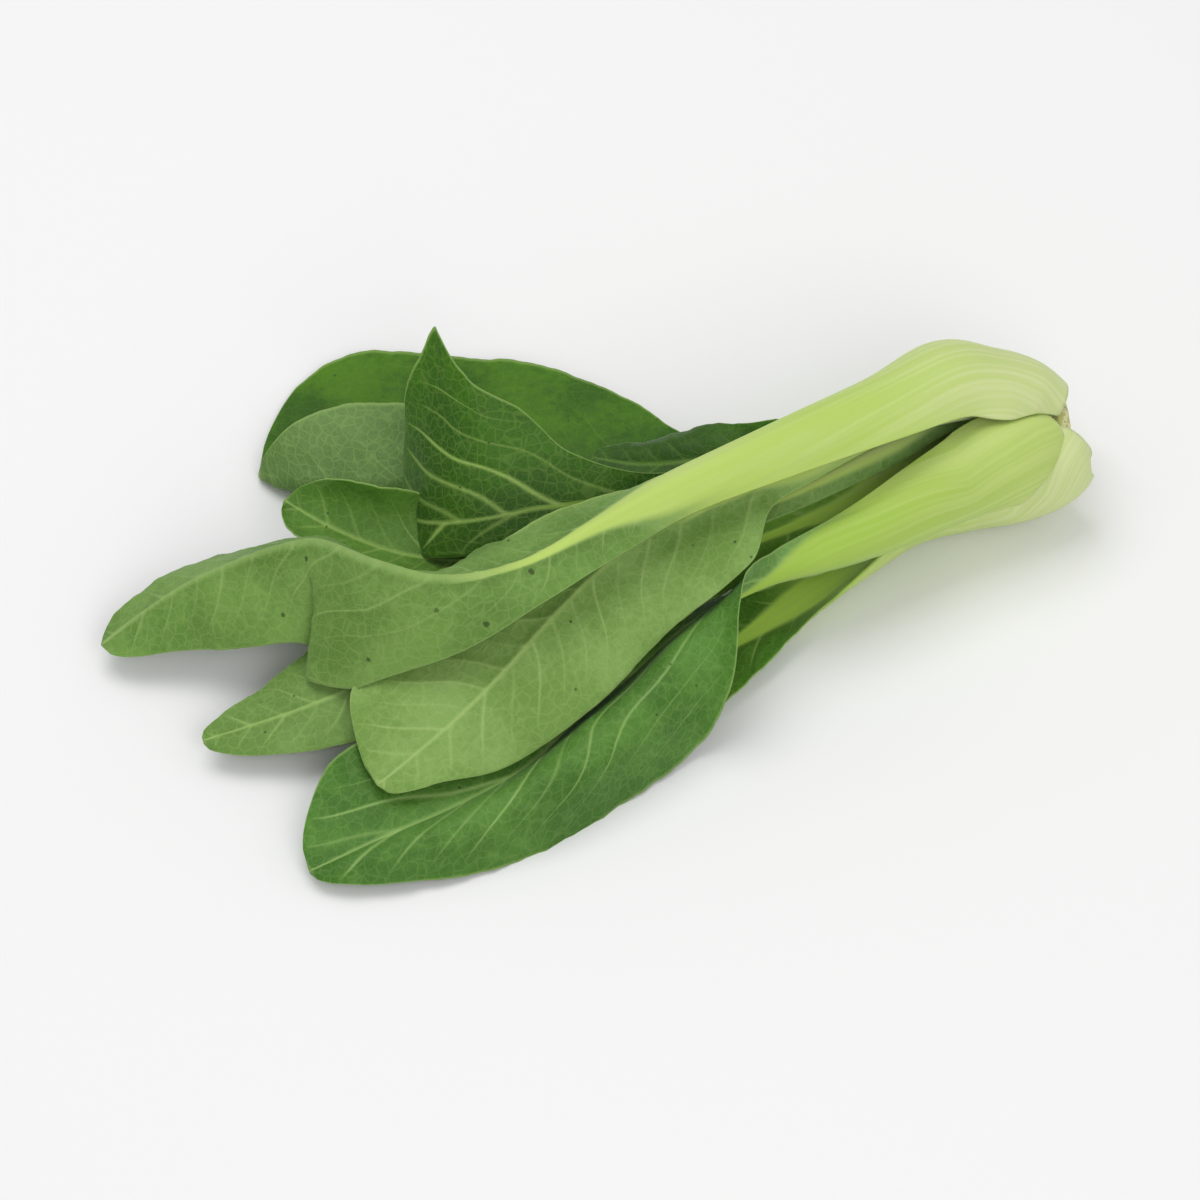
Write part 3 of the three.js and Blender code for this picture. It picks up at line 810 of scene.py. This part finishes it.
def store(mesh: bpy.types.Mesh, name: str, *parts: Grid) -> None:
    """Store one number, or three as a vector, for each point of a mesh.

    Args:
        mesh: The mesh to write on.
        name: Name of what is stored.
        parts: One grid of numbers, or three.
    """
    kind, key = ("FLOAT", "value") if len(parts) == 1 else ("FLOAT_VECTOR", "vector")
    layer = mesh.attributes.new(name, kind, "POINT")
    layer.data.foreach_set(key, np.stack(parts, -1).astype(np.float32).ravel())


def leaves() -> list[Leaf]:
    """Give every leaf of the head, outermost and most seen first.

    Returns:
        The ten leaves.
    """
    return [
        Leaf("leaf_top", (
            foot(-3, 115, 10, 8, 45, 3.5, 8),
            foot(4, 115, 15.5, 13, 50, 4.5, 11),
            foot(14, 111, 19.6, 17, 50, 5, 13),
            (*at(27, 101, 24.4), 16, 15.5, 0, 0, 50, 48, 5.5, 12),
            even(52, 22.5, 46.5, -0.1, 0.22, 0.97, 12.5, 45, 5.5, 9.5),
            even(26.7, 6.1, 49, 0, 0.1, 1, 9, 40, 5.5, 7),
            even(0, -8.7, 48.5, 0, 0, 1, 7, 30, 5, 5.5),
            (-20, -19.9, 47.5, 0, 0, 1, 10, 9, 0, 0, 25, 25, 4, 4),
            (-40, -31.8, 46.5, 0, 0, 1, 15, 11, 10, 10, 20, 20, 3.2, 3),
            (-60, -35.5, 45.5, 0, 0, 1, 22, 20, 35, 38, 20, 15, 2.2, 2.2),
            (-77, -29.3, 44, 0, 0, 1, 27, 33, 50, 48, 15, 10, 1.6, 2),
            (-92, -19.5, 40.5, 0, 0, 1, 27, 34.5, 50, 50, 10, 5, 1.2, 1.7),
            (-101, -18, 37, 0, 0, 1, 25, 27, 42, 48, 15, 8, 1.1, 1.6),
            (-111, -18, 32, 0, 0, 1, 22, 23, 35, 42, 20, 10, 1, 1.5),
            (-127, -19, 22, 0, 0, 1, 14, 18, 20, 30, 20, 10, 0.8, 1.3),
            (-141, -23.5, 13, 0, 0, 1, 8, 10, 15, 20, 10, 5, 0.7, 1.2),
            (-149, -26.5, 7, 0, 0, 1, 5, 6, 10, 10, 5, 5, 0.5, 1),
        ), LeafFinish(
            outer=(112, 148, 70), outer_deep=(90, 126, 52), outer_vein=(148, 176, 104), vein_spacing=11.0,
            vein_slope=1.0, vein_width=0.4, vein_strength=0.5, blemish=0.1, seed=1.0,
        )),
        Leaf("leaf_front", (
            foot(0, 33, 11, 8, 45, 3.5, 8),
            foot(6, 33, 15.5, 12, 48, 4.5, 10),
            (*at(14, 27, 18.5), 14.5, 16, 0, 0, 48, 48, 5.5, 12),
            (*at(25, 15, 19.5), 14, 15, 0, 0, 45, 45, 6, 11),
            (62, 3.5, 27.5, 0.3, -0.8, 0.5, 10.5, 11, 0, 0, 40, 40, 5.5, 8.5),
            even(49, -5, 28, 0.4, -0.7, 0.55, 8, 35, 5, 6),
            even(35, -12, 27.5, 0.4, -0.7, 0.5, 6, 25, 4.5, 5),
            (22, -17, 25, 0.5, -0.8, 0, 8, 5.5, 0, 0, 0, 10, 4, 4),
            (10, -23.5, 22, 0.3, -0.6, -0.7, 18, 9, 20, 0, -40, 5, 3.2, 3),
            (-3, -33, 18, 0.15, -0.25, -0.95, 30, 16, 38, 10, -95, 5, 2.6, 2.5),
            (-14, -43, 14.5, 0, 0, -1, 38, 22, 48, 10, -120, 5, 2.2, 2.2),
            (-27, -55, 12.3, 0, 0, -1, 38, 25, 50, 8, -125, 5, 1.8, 2),
            (-40, -68, 10.4, 0, 0, -1, 33, 26, 45, 8, -118, 5, 1.5, 1.8),
            (-57, -78.5, 8.6, 0, 0, -1, 25, 26, 38, 8, -100, 8, 1.2, 1.5),
            (-76, -88, 7.5, 0, 0, -1, 15, 25, 25, 10, -70, 10, 1, 1.3),
            (-94, -96.5, 5, 0, 0, -1, 7, 13, 10, 10, -20, 5, 0.6, 1),
        ), LeafFinish(
            inner=(84, 130, 48), inner_deep=(60, 104, 28), outer=(104, 146, 72), outer_deep=(84, 124, 54),
            inner_vein=(150, 184, 104), stalk=(160, 192, 76), stalk_foot=(188, 206, 120),
            # Painted light: stalk_inside is set paler than the groove's own green, to light the shaded
            # groove under leaf_top.
            stalk_inside=(170, 212, 76), vein_spacing=20.0, vein_slope=2.3, vein_width=1.1,
            vein_strength=0.7, sheen=0.1, seed=2.0,
        ), turn=(0.4, 0.3, 0.5, 0.5)),
        Leaf("leaf_peek", (
            foot(2, 138, 11.5, 3, 25, 1.8, 3.5),
            foot(12, 140, 15.8, 3.5, 25, 2, 3.8),
            foot(28, 140, 17.5, 4, 25, 2.2, 4),
            even(57, 35.5, 37.5, 0, 0.75, 0.65, 4.2, 20, 2.3, 4),
            even(38, 24, 36.5, 0, 0.85, 0.4, 4.5, 15, 2.3, 3.5),
            (20, 16.5, 33.5, 0, 0.6, -0.7, 6, 8, 0, 0, 5, -10, 2.2, 3),
            (5, 16.5, 30.5, 0, 0.3, -0.9, 7, 11, 5, 15, 5, -60, 1.8, 2.4),
            (-10, 18, 27, 0, 0.3, -0.9, 7, 9, 5, 15, 5, -60, 1.4, 1.8),
            (-23, 22, 25, 0, 0.3, -0.9, 4, 5, 0, 0, 5, 0, 0.8, 1),
        ), LeafFinish(
            inner=(60, 102, 16), inner_deep=(42, 78, 10), outer=(82, 122, 42), outer_deep=(60, 98, 24),
            inner_vein=(104, 140, 56), outer_vein=(116, 150, 72), vein_spacing=7.0, vein_width=0.4,
            vein_strength=0.3, seed=9.0,
        ), wave=0.8),
        Leaf("leaf_pale", (
            foot(1, 95, 7, 6, 40, 3, 6),
            foot(10, 97, 12, 9, 40, 3.2, 7),
            even(76, 34, 35, -0.1, 0.3, 0.95, 8, 40, 3.5, 6.5),
            even(52, 24, 37, -0.1, 0.25, 0.96, 7, 35, 3.5, 6),
            even(30, 8, 38, 0, 0, 1, 6, 25, 3.5, 5),
            (19, 1, 38, 0, 0, 1, 6.5, 8, 0, 0, 15, 15, 3.2, 4),
            (10, -4.5, 38, 0, -0.05, 1, 9, 18, 0, 2, 8, 10, 3, 3.5),
            (0, -10, 37.5, 0.05, -0.15, 1, 14, 21, 3, 5, 5, 10, 2.7, 3),
            (-13.3, -18.5, 36.5, 0.1, -0.25, 0.95, 18, 22.5, 3, 5, 5, 12, 2.4, 2.6),
            (-23.3, -27, 34.5, 0.1, -0.3, 0.95, 22, 23.5, 3, 5, 8, 15, 2.1, 2.4),
            (-35.3, -39.5, 30.5, 0.1, -0.3, 0.95, 26, 23.5, 3, 5, 10, 15, 1.8, 2.2),
            (-45.7, -49.7, 24.5, 0, -0.35, 0.93, 29, 21, 3, 5, 10, 12, 1.5, 2),
            (-57, -60, 19.5, 0, -0.35, 0.93, 29.5, 17, 3, 5, 10, 8, 1.2, 1.7),
            (-68, -69, 15.5, 0, -0.3, 0.95, 25, 9, 3, 3, 8, 5, 1, 1.4),
            (-77, -76, 13, 0, -0.3, 0.95, 11, 6, 0, 0, 5, 5, 0.6, 1),
        ), LeafFinish(
            outer=(130, 164, 86), outer_deep=(108, 144, 64), outer_vein=(160, 188, 112), vein_spacing=9.5,
            vein_slope=0.75, vein_width=0.45, vein_strength=0.55, seed=3.0,
        ), wave=0.8),
        Leaf("leaf_inner", (
            foot(1, 205, 6, 6, 50, 3, 6),
            foot(10, 205, 10, 9, 50, 3.5, 7),
            foot(24, 205, 9, 9.5, 50, 4, 7),
            even(62, 25.5, 20.5, -0.2, 0.7, -0.65, 8, 45, 4, 6),
            (47, 12, 19.5, -0.2, 0.55, -0.8, 7, 9, 0, 5, 35, 20, 3.8, 4.5),
            (32, 4, 20, -0.1, 0.45, -0.9, 8, 15, 3, 8, 10, 10, 3, 3.5),
            (18, -4, 21, 0, 0.3, -0.95, 9, 18, 3, 8, 5, 5, 2.6, 3),
            (0, -15, 23.5, 0, 0.1, -1, 12, 20, 3, 5, 5, 5, 2.2, 2.4),
            (-18, -29, 22.5, 0, 0.1, -1, 14, 18, 3, 3, 5, 5, 1.8, 2),
            (-34, -42, 20, 0, 0, -1, 11, 12, 3, 3, 5, 5, 1.2, 1.6),
            even(-45, -51, 17.5, 0, 0, -1, 4, 5, 0.6, 1),
        ), LeafFinish(
            # Painted light: these colours are set well above the leaf's own green, to light its faces and
            # stalk where they lie in the shaded trough between the stalks.
            inner=(110, 156, 48), inner_deep=(90, 136, 36), outer=(196, 226, 112),
            outer_deep=(172, 206, 92), stalk=(206, 232, 116), stalk_inside=(170, 212, 76),
            vein_spacing=11.0, vein_width=0.6, seed=4.0,
        )),
        Leaf("leaf_upright", (
            foot(1, 180, 7, 6, 45, 3, 6),
            foot(10, 176, 13, 9, 45, 3.5, 7),
            foot(25, 168, 14, 9, 45, 3.8, 7),
            even(59, 34, 27, -0.3, 0.9, 0.05, 8, 40, 4, 6),
            even(38, 22.5, 28, -0.4, 0.85, -0.2, 6.5, 30, 4, 5),
            even(15, 11, 28, -0.3, 0.8, -0.45, 6, 20, 4, 4.5),
            (-8, 6, 27, 0, 0.6, -0.8, 6, 7, 0, 0, 5, 5, 3.8, 4),
            (-27.7, 5, 26, 0, 0.6, -0.8, 9, 14, 0, 0, 5, 5, 3, 3),
            (-38, 4, 25.5, 0, 0.6, -0.8, 10, 27, 0, 0, 5, 5, 2.6, 2.5),
            (-49, 2.4, 24, 0, 0.6, -0.8, 9, 38, 0, 0, 5, 8, 2.2, 2.2),
            (-58, 2.8, 21.5, 0.1, 0.65, -0.75, 9, 51, 0, 0, 5, 6, 2, 2),
            (-65.5, 6, 17.5, 0.35, 0.6, -0.6, 9, 44, 0, 0, 5, 6, 1.8, 1.9),
            (-70, 11, 13, 0.7, 0.45, -0.4, 8, 33, 0, 0, 5, 8, 1.6, 1.8),
            (-72.5, 16, 9.5, 0.85, 0.3, -0.25, 6, 18, 0, 0, 5, 8, 1.2, 1.5),
            (-73.5, 19.5, 7.5, 0.9, 0.2, -0.2, 4, 8, 0, 0, 5, 5, 0.8, 1.2),
        ), LeafFinish(
            inner=(60, 104, 12), inner_deep=(42, 82, 8), inner_vein=(158, 188, 98), vein_spacing=21.0,
            vein_slope=2.1, vein_width=1.3, vein_strength=0.8, sheen=0.08, seed=5.0,
        ), wave=0.8),
        Leaf("leaf_back", (
            foot(-4, 195, 10.5, 8, 45, 3.5, 8),
            foot(3, 195, 15.5, 13, 50, 4.5, 11),
            foot(13, 195, 19, 17, 50, 5, 13),
            foot(28, 195, 20, 16, 50, 5.5, 12),
            even(52, 40, 18, -0.2, 0.85, -0.4, 12, 42, 5, 9),
            even(34, 31, 14, -0.3, 0.6, -0.75, 9, 30, 4.5, 6),
            (16, 26.5, 12.5, -0.1, 0.4, -0.9, 8, 9, 0, 0, 20, 20, 4, 5),
            (0, 26, 11, 0, 0.1, -1, 13, 14, 5, 5, 5, 5, 3, 3.5),
            (-20, 29, 8.4, 0, 0, -1, 20, 28, 5, 5, 5, -5, 2.4, 2.6),
            (-42, 32, 5.8, 0, 0, -1, 26, 37, 5, 4, 50, -5, 1.8, 2),
            (-54, 32.8, 4.8, 0, 0, -1, 31, 39.5, 5, 4, 100, -5, 1.6, 1.85),
            (-66, 33.5, 3.3, 0, 0, -1, 36, 41, 5, 4, 150, -5, 1.4, 1.7),
            (-87, 34.3, 2.6, 0, 0, -1, 37, 41, 5, 4, 163, -5, 1.1, 1.4),
            (-101, 34.7, 2.2, 0, 0, -1, 27, 32, 5, 4, 158, -5, 0.8, 1.2),
            (-111, 34.9, 2, 0, 0, -1, 10, 15, 5, 4, 140, 0, 0.6, 1),
        ), LeafFinish(
            inner=(74, 120, 12), inner_deep=(48, 90, 8), outer=(100, 132, 72), outer_deep=(84, 116, 56),
            inner_vein=(104, 144, 50), vein_spacing=12.0, vein_width=0.4, vein_strength=0.35, seed=6.0,
        ), turn=(0.3, 0.16, 0.5, 0.5), wave=0.8),
        Leaf("leaf_under", (
            (*at(-5.5, 25, 8.5), 7, 4.5, 0, 0, 42, 42, 3.5, 8),
            (*at(-3, 15, 12.5), 11.5, 10, 0, 0, 46, 46, 4.2, 10),
            foot(2, -12, 15.8, 15.5, 50, 4.5, 12),
            foot(10, -36, 18, 17.5, 52, 4.5, 13),
            foot(24, -46, 18.6, 17, 50, 5, 13),
            even(60, 11, 9, 0.25, -0.6, -0.75, 12, 42, 4.5, 9),
            even(46, 1, 7, 0.25, -0.35, -0.9, 9, 35, 4.2, 6.5),
            even(31, -11, 6, 0.1, -0.15, -0.98, 8, 20, 4, 5),
            (14, -24, 4.8, 0, 0, -1, 12, 14, 3, 3, 10, 10, 3, 3.5),
            (-8, -40, 4, 0, 0, -1, 16, 20, 2, 2, 3, 3, 2.2, 2.5),
            (-30, -56, 3.3, 0, 0, -1, 17, 22, 2, 2, 3, 3, 1.6, 2),
            (-50, -70, 2.8, 0, 0, -1, 14, 20, 2, 2, 3, 3, 1.2, 1.6),
            (-66, -80, 2.6, 0, 0, -1, 9, 12, 2, 2, 3, 3, 1, 1.3),
            even(-76, -86, 2.3, 0, 0, -1, 4, 0, 0.6, 1),
        ), LeafFinish(
            # Painted light: the inner face and stalk_inside are set paler than the leaf's own green, to
            # light them in the shaded trough beside the other stalks.
            inner=(88, 134, 42), inner_deep=(68, 112, 28), stalk_inside=(176, 214, 84), seed=7.0,
        ), wave=0.4),
        Leaf("leaf_left", (
            foot(1, 110, 2.5, 3.5, 30, 2, 3.5),
            foot(12, 105, 5, 4.5, 30, 2.2, 4),
            foot(28, 100, 8, 5, 30, 2.5, 4),
            even(53, 19, 31, 0, 0, 1, 5, 30, 2.5, 4),
            even(29, 3, 32, 0, 0, 1, 4.5, 20, 2.5, 3.5),
            even(7, -8, 31.5, 0, 0, 1, 5, 10, 2.4, 3),
            (-15, -15, 29, 0, 0, 1, 11, 10, 3, 3, 5, 5, 2, 2.5),
            (-35, -24, 25, 0, 0, 1, 17, 13, 3, 3, 5, 5, 1.7, 2.2),
            (-55, -33, 20, 0, 0, 1, 19, 15, 3, 3, 5, 5, 1.5, 2),
            (-75, -42, 15, 0, -0.1, 1, 19, 15, 3, 3, 8, 8, 1.3, 1.7),
            (-95, -50, 11.5, 0, -0.15, 1, 15, 12, 5, 5, 8, 8, 1, 1.4),
            (-110, -54.5, 9, 0, -0.15, 1, 9, 8, 5, 5, 8, 8, 0.8, 1.2),
            even(-122, -58, 7.5, 0, -0.15, 1, 4, 5, 0.5, 1),
        ), LeafFinish(
            outer=(118, 152, 80), outer_deep=(98, 132, 60), vein_spacing=8.0, vein_width=0.4,
            vein_strength=0.55, seed=8.0,
        ), wave=0.8),
        Leaf("leaf_curl", (
            foot(1, 270, 3.5, 3.5, 30, 2, 3.5),
            foot(12, 265, 6, 4.5, 30, 2.2, 4),
            foot(28, 260, 8, 5, 30, 2.5, 4),
            even(55, 10, 13, 0, 0, -1, 5, 25, 2.5, 4),
            even(30, 5, 11, 0, 0, -1, 4.5, 20, 2.5, 3.5),
            even(5, 3, 10, 0, 0, -1, 4.5, 10, 2.4, 3),
            (-25, 2, 9, 0, 0, -1, 8, 8, 5, 5, 10, 10, 2, 2.5),
            (-50, 0, 9, 0, 0, -1, 13, 13, 10, 10, 20, 20, 1.6, 2),
            (-72, 1, 11, 0.1, 0, -1, 16, 17, 15, 15, 40, 50, 1.3, 1.8),
            (-90, 7, 14, 0.3, 0, -0.95, 14, 16, 20, 20, 60, 60, 1, 1.4),
            (-103, 14, 17, 0.4, 0, -0.9, 6, 7, 10, 10, 20, 20, 0.6, 1),
        ), LeafFinish(
            inner=(92, 132, 52), inner_deep=(70, 108, 34), outer=(116, 150, 76), outer_deep=(96, 130, 58),
            vein_spacing=8.0, vein_width=0.4, vein_strength=0.45, seed=10.0,
        ), turn=(0.5, 0.4, 0.5, 0.4), wave=1.2),
    ]


class BundleRing(PieceTree):
    """Sets small raised bundles round a ring."""

    def __init__(self) -> None:
        """Build the tree once, with its sizes as named inputs."""
        super().__init__("bundle ring", {"Count": "Int", "Ring Radius": "Float", "Bundle Radius": "Float",
                                         "Wander": "Float", "Seed": "Int"})
        w, given = self.wiring, self.given
        seed = {"Seed": given["Seed"]}
        ring = w.add("GeometryNodeMeshCircle", {"Vertices": given["Count"], "Radius": given["Ring Radius"]})
        shift = w.add("FunctionNodeRandomValue", {**seed, 0: (-1.0, -1.0, -0.15), 1: (1.0, 1.0, 0.15)},
                      data_type="FLOAT_VECTOR").outputs[0]
        wander = w.vectors("SCALE", {0: shift, 3: given["Wander"]})
        loose = w.add("GeometryNodeSetPosition", {"Geometry": ring.outputs[0], "Offset": wander})
        bead = w.add("GeometryNodeMeshIcoSphere", {"Radius": given["Bundle Radius"], "Subdivisions": 2})
        size = w.add("FunctionNodeRandomValue", {**seed, 2: 0.6, 3: 1.2}, data_type="FLOAT").outputs[1]
        many = w.add("GeometryNodeInstanceOnPoints", {"Points": loose.outputs[0],
                     "Instance": bead.outputs[0], "Scale": w.vector(size, size, 0.6)})
        self.close(many.outputs[0])


@dataclass(frozen=True)
class CutFinish:
    """The dry cut stem: cream rings with a few soft patches of brown."""

    pale: Colour = (214, 214, 160)
    ring: Colour = (184, 186, 112)
    brown: Colour = (150, 122, 66)
    radians_per_mm: float = 3.2
    cloud_scale: float = 420.0
    brown_scale: float = 900.0

    def material(self, name: str, centre: Grid, axis: Grid) -> bpy.types.Material:
        """Build the material, with its rings about the stem's own axis.

        Args:
            name: Name of the material.
            centre: The middle of the stem in metres.
            axis: The stem's direction, of length one.

        Returns:
            The finished material.
        """
        material, w, shader = new_material(name)
        place = w.add("ShaderNodeTexCoord").outputs["Object"]
        from_centre = w.vectors("SUBTRACT", {0: place, 1: tuple(centre)})
        off_axis = w.vectors("CROSS_PRODUCT", {0: from_centre, 1: tuple(axis)})
        radius = w.vectors("LENGTH", {0: off_axis}, 1)
        cloud = w.noise(place, self.cloud_scale, 3.0)
        wavy = w.plus(w.times(radius, 1.0 / MM), w.times(cloud, 1.6))
        rings = w.math("SINE", w.times(wavy, self.radians_per_mm))
        colour = w.mix(w.ease(rings, -0.6, 0.9), self.pale, self.ring)
        browned = w.times(w.ease(w.noise(place, self.brown_scale, 3.0), 0.52, 0.66), 0.6)
        height = w.plus(w.times(rings, 0.3), cloud)
        bump = w.add("ShaderNodeBump", {"Height": height, "Strength": 0.6, "Distance": 0.0004})
        w.fill(shader, {
            "Base Color": w.mix(browned, colour, self.brown), "Normal": bump.outputs[0],
            "Roughness": w.plus(w.times(cloud, 0.3), 0.5),
            "Subsurface Weight": 0.1, "Subsurface Radius": (1.0, 0.9, 0.4), "Subsurface Scale": 0.002,
        })
        return material


@dataclass
class Crown:
    """The cut stem plate at the foot of the head, in millimetres along its own axis."""

    cut_radius: float = 8.5
    top_radius: float = 9.5
    length: float = 5.5
    segments: int = 128
    bundle_rings: tuple[tuple[float, int], ...] = ((2.2, 9), (4.4, 17), (6.6, 26))
    bundle_radius: float = 0.42
    bundle_wander: float = 0.35
    bundle_depth: float = 0.72
    finish: CutFinish = field(default_factory=CutFinish)

    def build(self, ring: BundleRing) -> list[Piece]:
        """Make the plug and the rings of bundles on its cut face.

        Args:
            ring: The tree that sets bundles round a ring.

        Returns:
            The pieces, riding on the frame.
        """
        axis = AXIS / np.linalg.norm(AXIS)
        centre = (CROWN - ORIGIN) * MM
        skin = self.finish.material("crown", centre, axis)
        plug = self._plug(centre, axis)
        plug.data.materials.append(skin)
        pieces = [plug]
        for number, (radius, count) in enumerate(self.bundle_rings):
            bead = mesh_object(f"crown_bundles_{number + 1}", np.zeros((0, 3)), np.zeros((0, 4), int))
            ring.apply(bead, Count=count, Ring_Radius=radius * MM, Bundle_Radius=self.bundle_radius * MM,
                       Wander=self.bundle_wander * MM, Seed=number + 3, Skin=skin)
            self._place(bead.data, centre, axis)
            pieces.append(bead)
        for piece in pieces:
            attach(piece, "root")
            piece.data.shade_smooth()
        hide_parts("crown")
        return pieces

    def _sides(self, axis: Grid) -> tuple[Grid, Grid]:
        """Two directions square to the axis and to each other.

        Args:
            axis: The stem's direction.

        Returns:
            The two directions, of length one.
        """
        first = np.cross(axis, UP)
        first = first / np.linalg.norm(first)
        return first, np.cross(axis, first)

    def _plug(self, centre: Grid, axis: Grid) -> Piece:
        """Turn the stem's outline round the axis, with the uneven bark of leaf scars.

        Args:
            centre: The middle of the stem in metres.
            axis: The stem's direction.

        Returns:
            The closed plug.
        """
        cut, top, end = self.cut_radius, self.top_radius, -self.length
        outline = [(0.02, end + 0.9), (cut * 0.35, end + 0.8), (cut * 0.7, end + 0.6),
                   (cut - 0.8, end + 0.55), (cut - 0.2, end + 0.8), (cut, end + 1.4), (cut + 0.3, -3.4),
                   (cut + 0.7, -2.7), (top, -2.0), (top - 0.5, -0.8), (top - 1.6, 0.1),
                   (top * 0.5, 0.4), (0.02, 0.5)]
        turn = np.linspace(0.0, 2 * math.pi, self.segments, endpoint=False)
        first, second = self._sides(axis)
        out = np.cos(turn)[:, None] * first + np.sin(turn)[:, None] * second
        rings = []
        for radius, along in outline:
            bumps = 1 + 0.02 * np.sin(turn * 5 + along) + 0.012 * np.sin(turn * 13 + 2 * along)
            rings.append(centre + MM * (axis * along + out * (radius * bumps)[:, None]))
        index = np.arange(len(rings) * self.segments).reshape(len(rings), self.segments)
        after = np.roll(index, -1, axis=1)
        quads = np.stack((index[:-1], after[:-1], after[1:], index[1:]), -1).reshape(-1, 4)
        points = np.concatenate(rings)
        plug = mesh_object("crown_plug", points, facing_out(points, quads))
        close_ends(plug.data)
        return plug

    def _place(self, mesh: bpy.types.Mesh, centre: Grid, axis: Grid) -> None:
        """Lay a ring, made flat about the vertical, on the cut face.

        Args:
            mesh: The ring of bundles.
            centre: The middle of the stem in metres.
            axis: The stem's direction.
        """
        points = np.empty(len(mesh.vertices) * 3)
        mesh.vertices.foreach_get("co", points)
        points = points.reshape(-1, 3)
        first, second = self._sides(axis)
        face = centre + axis * MM * (-self.length + self.bundle_depth)
        points = face + points[:, :1] * first + points[:, 1:2] * second - points[:, 2:] * axis
        mesh.vertices.foreach_set("co", points.ravel())
        if np.dot(np.cross(first, second), -axis) < 0:
            mesh.flip_normals()
        mesh.update()


def close_ends(mesh: bpy.types.Mesh) -> None:
    """Fill the open ends of a turned shape.

    Args:
        mesh: The turned shape.
    """
    shape = bmesh.new()
    shape.from_mesh(mesh)
    edges = [e for e in shape.edges if e.is_boundary]
    bmesh.ops.holes_fill(shape, edges=edges, sides=0)
    bmesh.ops.recalc_face_normals(shape, faces=shape.faces)
    shape.to_mesh(mesh)
    shape.free()


@dataclass
class Studio:
    """A pale floor, soft light from above and a camera looking down at the head."""

    tilt: float = 52.0
    lens: float = 200.0
    sensor: float = 36.0
    view_width: float = 310.0
    aim: tuple[float, float, float] = (0.0, -6.0, 16.0)
    floor_half: float = 4.0
    floor_shade: float = 0.86
    sky_strength: float = 0.56

    def build(self) -> None:
        """Set out the floor, the lights and the camera."""
        self._floor()
        self._sky()
        bpy.context.scene.view_settings.view_transform = "Standard"
        self._lamp("key", (-0.25, 0.35, 1.25), 0.9, 7.0)
        self._lamp("fill", (0.45, -1.2, 1.2), 1.0, 9.0)
        self._camera()

    def _floor(self) -> None:
        """A wide pale floor with a plain matte finish."""
        far = self.floor_half
        points = np.array([(-far, -far, 0), (far, -far, 0), (far, far, 0), (-far, far, 0)])
        floor = mesh_object("floor", points, np.array([(0, 1, 2, 3)]))
        material, w, shader = new_material("floor")
        w.fill(shader, {"Base Color": (self.floor_shade,) * 3 + (1.0,), "Roughness": 0.9})
        floor.data.materials.append(material)

    def _sky(self) -> None:
        """An even pale surround."""
        world = bpy.data.worlds.new("studio")
        bpy.context.scene.world = world
        world.use_nodes = True
        sky = world.node_tree.nodes["Background"]
        sky.inputs["Color"].default_value = (1.0, 1.0, 1.0, 1.0)
        sky.inputs["Strength"].default_value = self.sky_strength

    def _hang(self, data: bpy.types.ID, place: Grid, towards: Grid) -> Piece:
        """Put a lamp or a camera in the scene, looking along a direction.

        Args:
            data: The lamp or the camera.
            place: Where it stands, in metres.
            towards: The direction that it looks in.

        Returns:
            The new object.
        """
        hung = bpy.data.objects.new(data.name, data)
        hung.location = place
        hung.rotation_euler = look_at(towards)
        bpy.context.scene.collection.objects.link(hung)
        return hung

    def _lamp(self, name: str, place: tuple[float, float, float], size: float, power: float) -> None:
        """Hang one soft square lamp that faces the head.

        Args:
            name: Name of the lamp.
            place: Where it hangs, in metres.
            size: Its side, in metres.
            power: Its power in watts.
        """
        lamp = bpy.data.lights.new(name, "AREA")
        lamp.size = size
        lamp.energy = power
        self._hang(lamp, np.array(place), -np.array(place))

    def _camera(self) -> None:
        """Stand the camera off the head, at the tilt and with the width in view."""
        camera = bpy.data.cameras.new("camera")
        camera.lens = self.lens
        camera.sensor_width = self.sensor
        camera.clip_start = 0.01
        far = self.view_width * self.lens / self.sensor
        tilt = math.radians(self.tilt)
        away = np.array((0.0, -math.cos(tilt), math.sin(tilt)))
        bpy.context.scene.camera = self._hang(camera, (np.array(self.aim) + away * far) * MM, -away)


def look_at(direction: Grid) -> tuple[float, float, float]:
    """Give the turn that points a lamp or camera along a direction, kept upright."""
    x, y, z = direction / np.linalg.norm(direction)
    return (math.acos(-z), 0.0, math.atan2(y, x) - math.pi / 2)


def main() -> None:
    """Build the head, its crown and the studio, and report each piece."""
    logging.basicConfig(level=logging.INFO, format="%(message)s")
    effects = LeafEffects()
    relief = VeinRelief()
    for leaf in leaves():
        piece = leaf.build(relief, effects)
        LOG.info("%s: %d faces", piece.name, len(piece.data.polygons))
    for piece in Crown().build(BundleRing()):
        LOG.info("%s: %d faces", piece.name, len(piece.data.polygons))
    Studio().build()


if __name__ == "__main__":
    main()
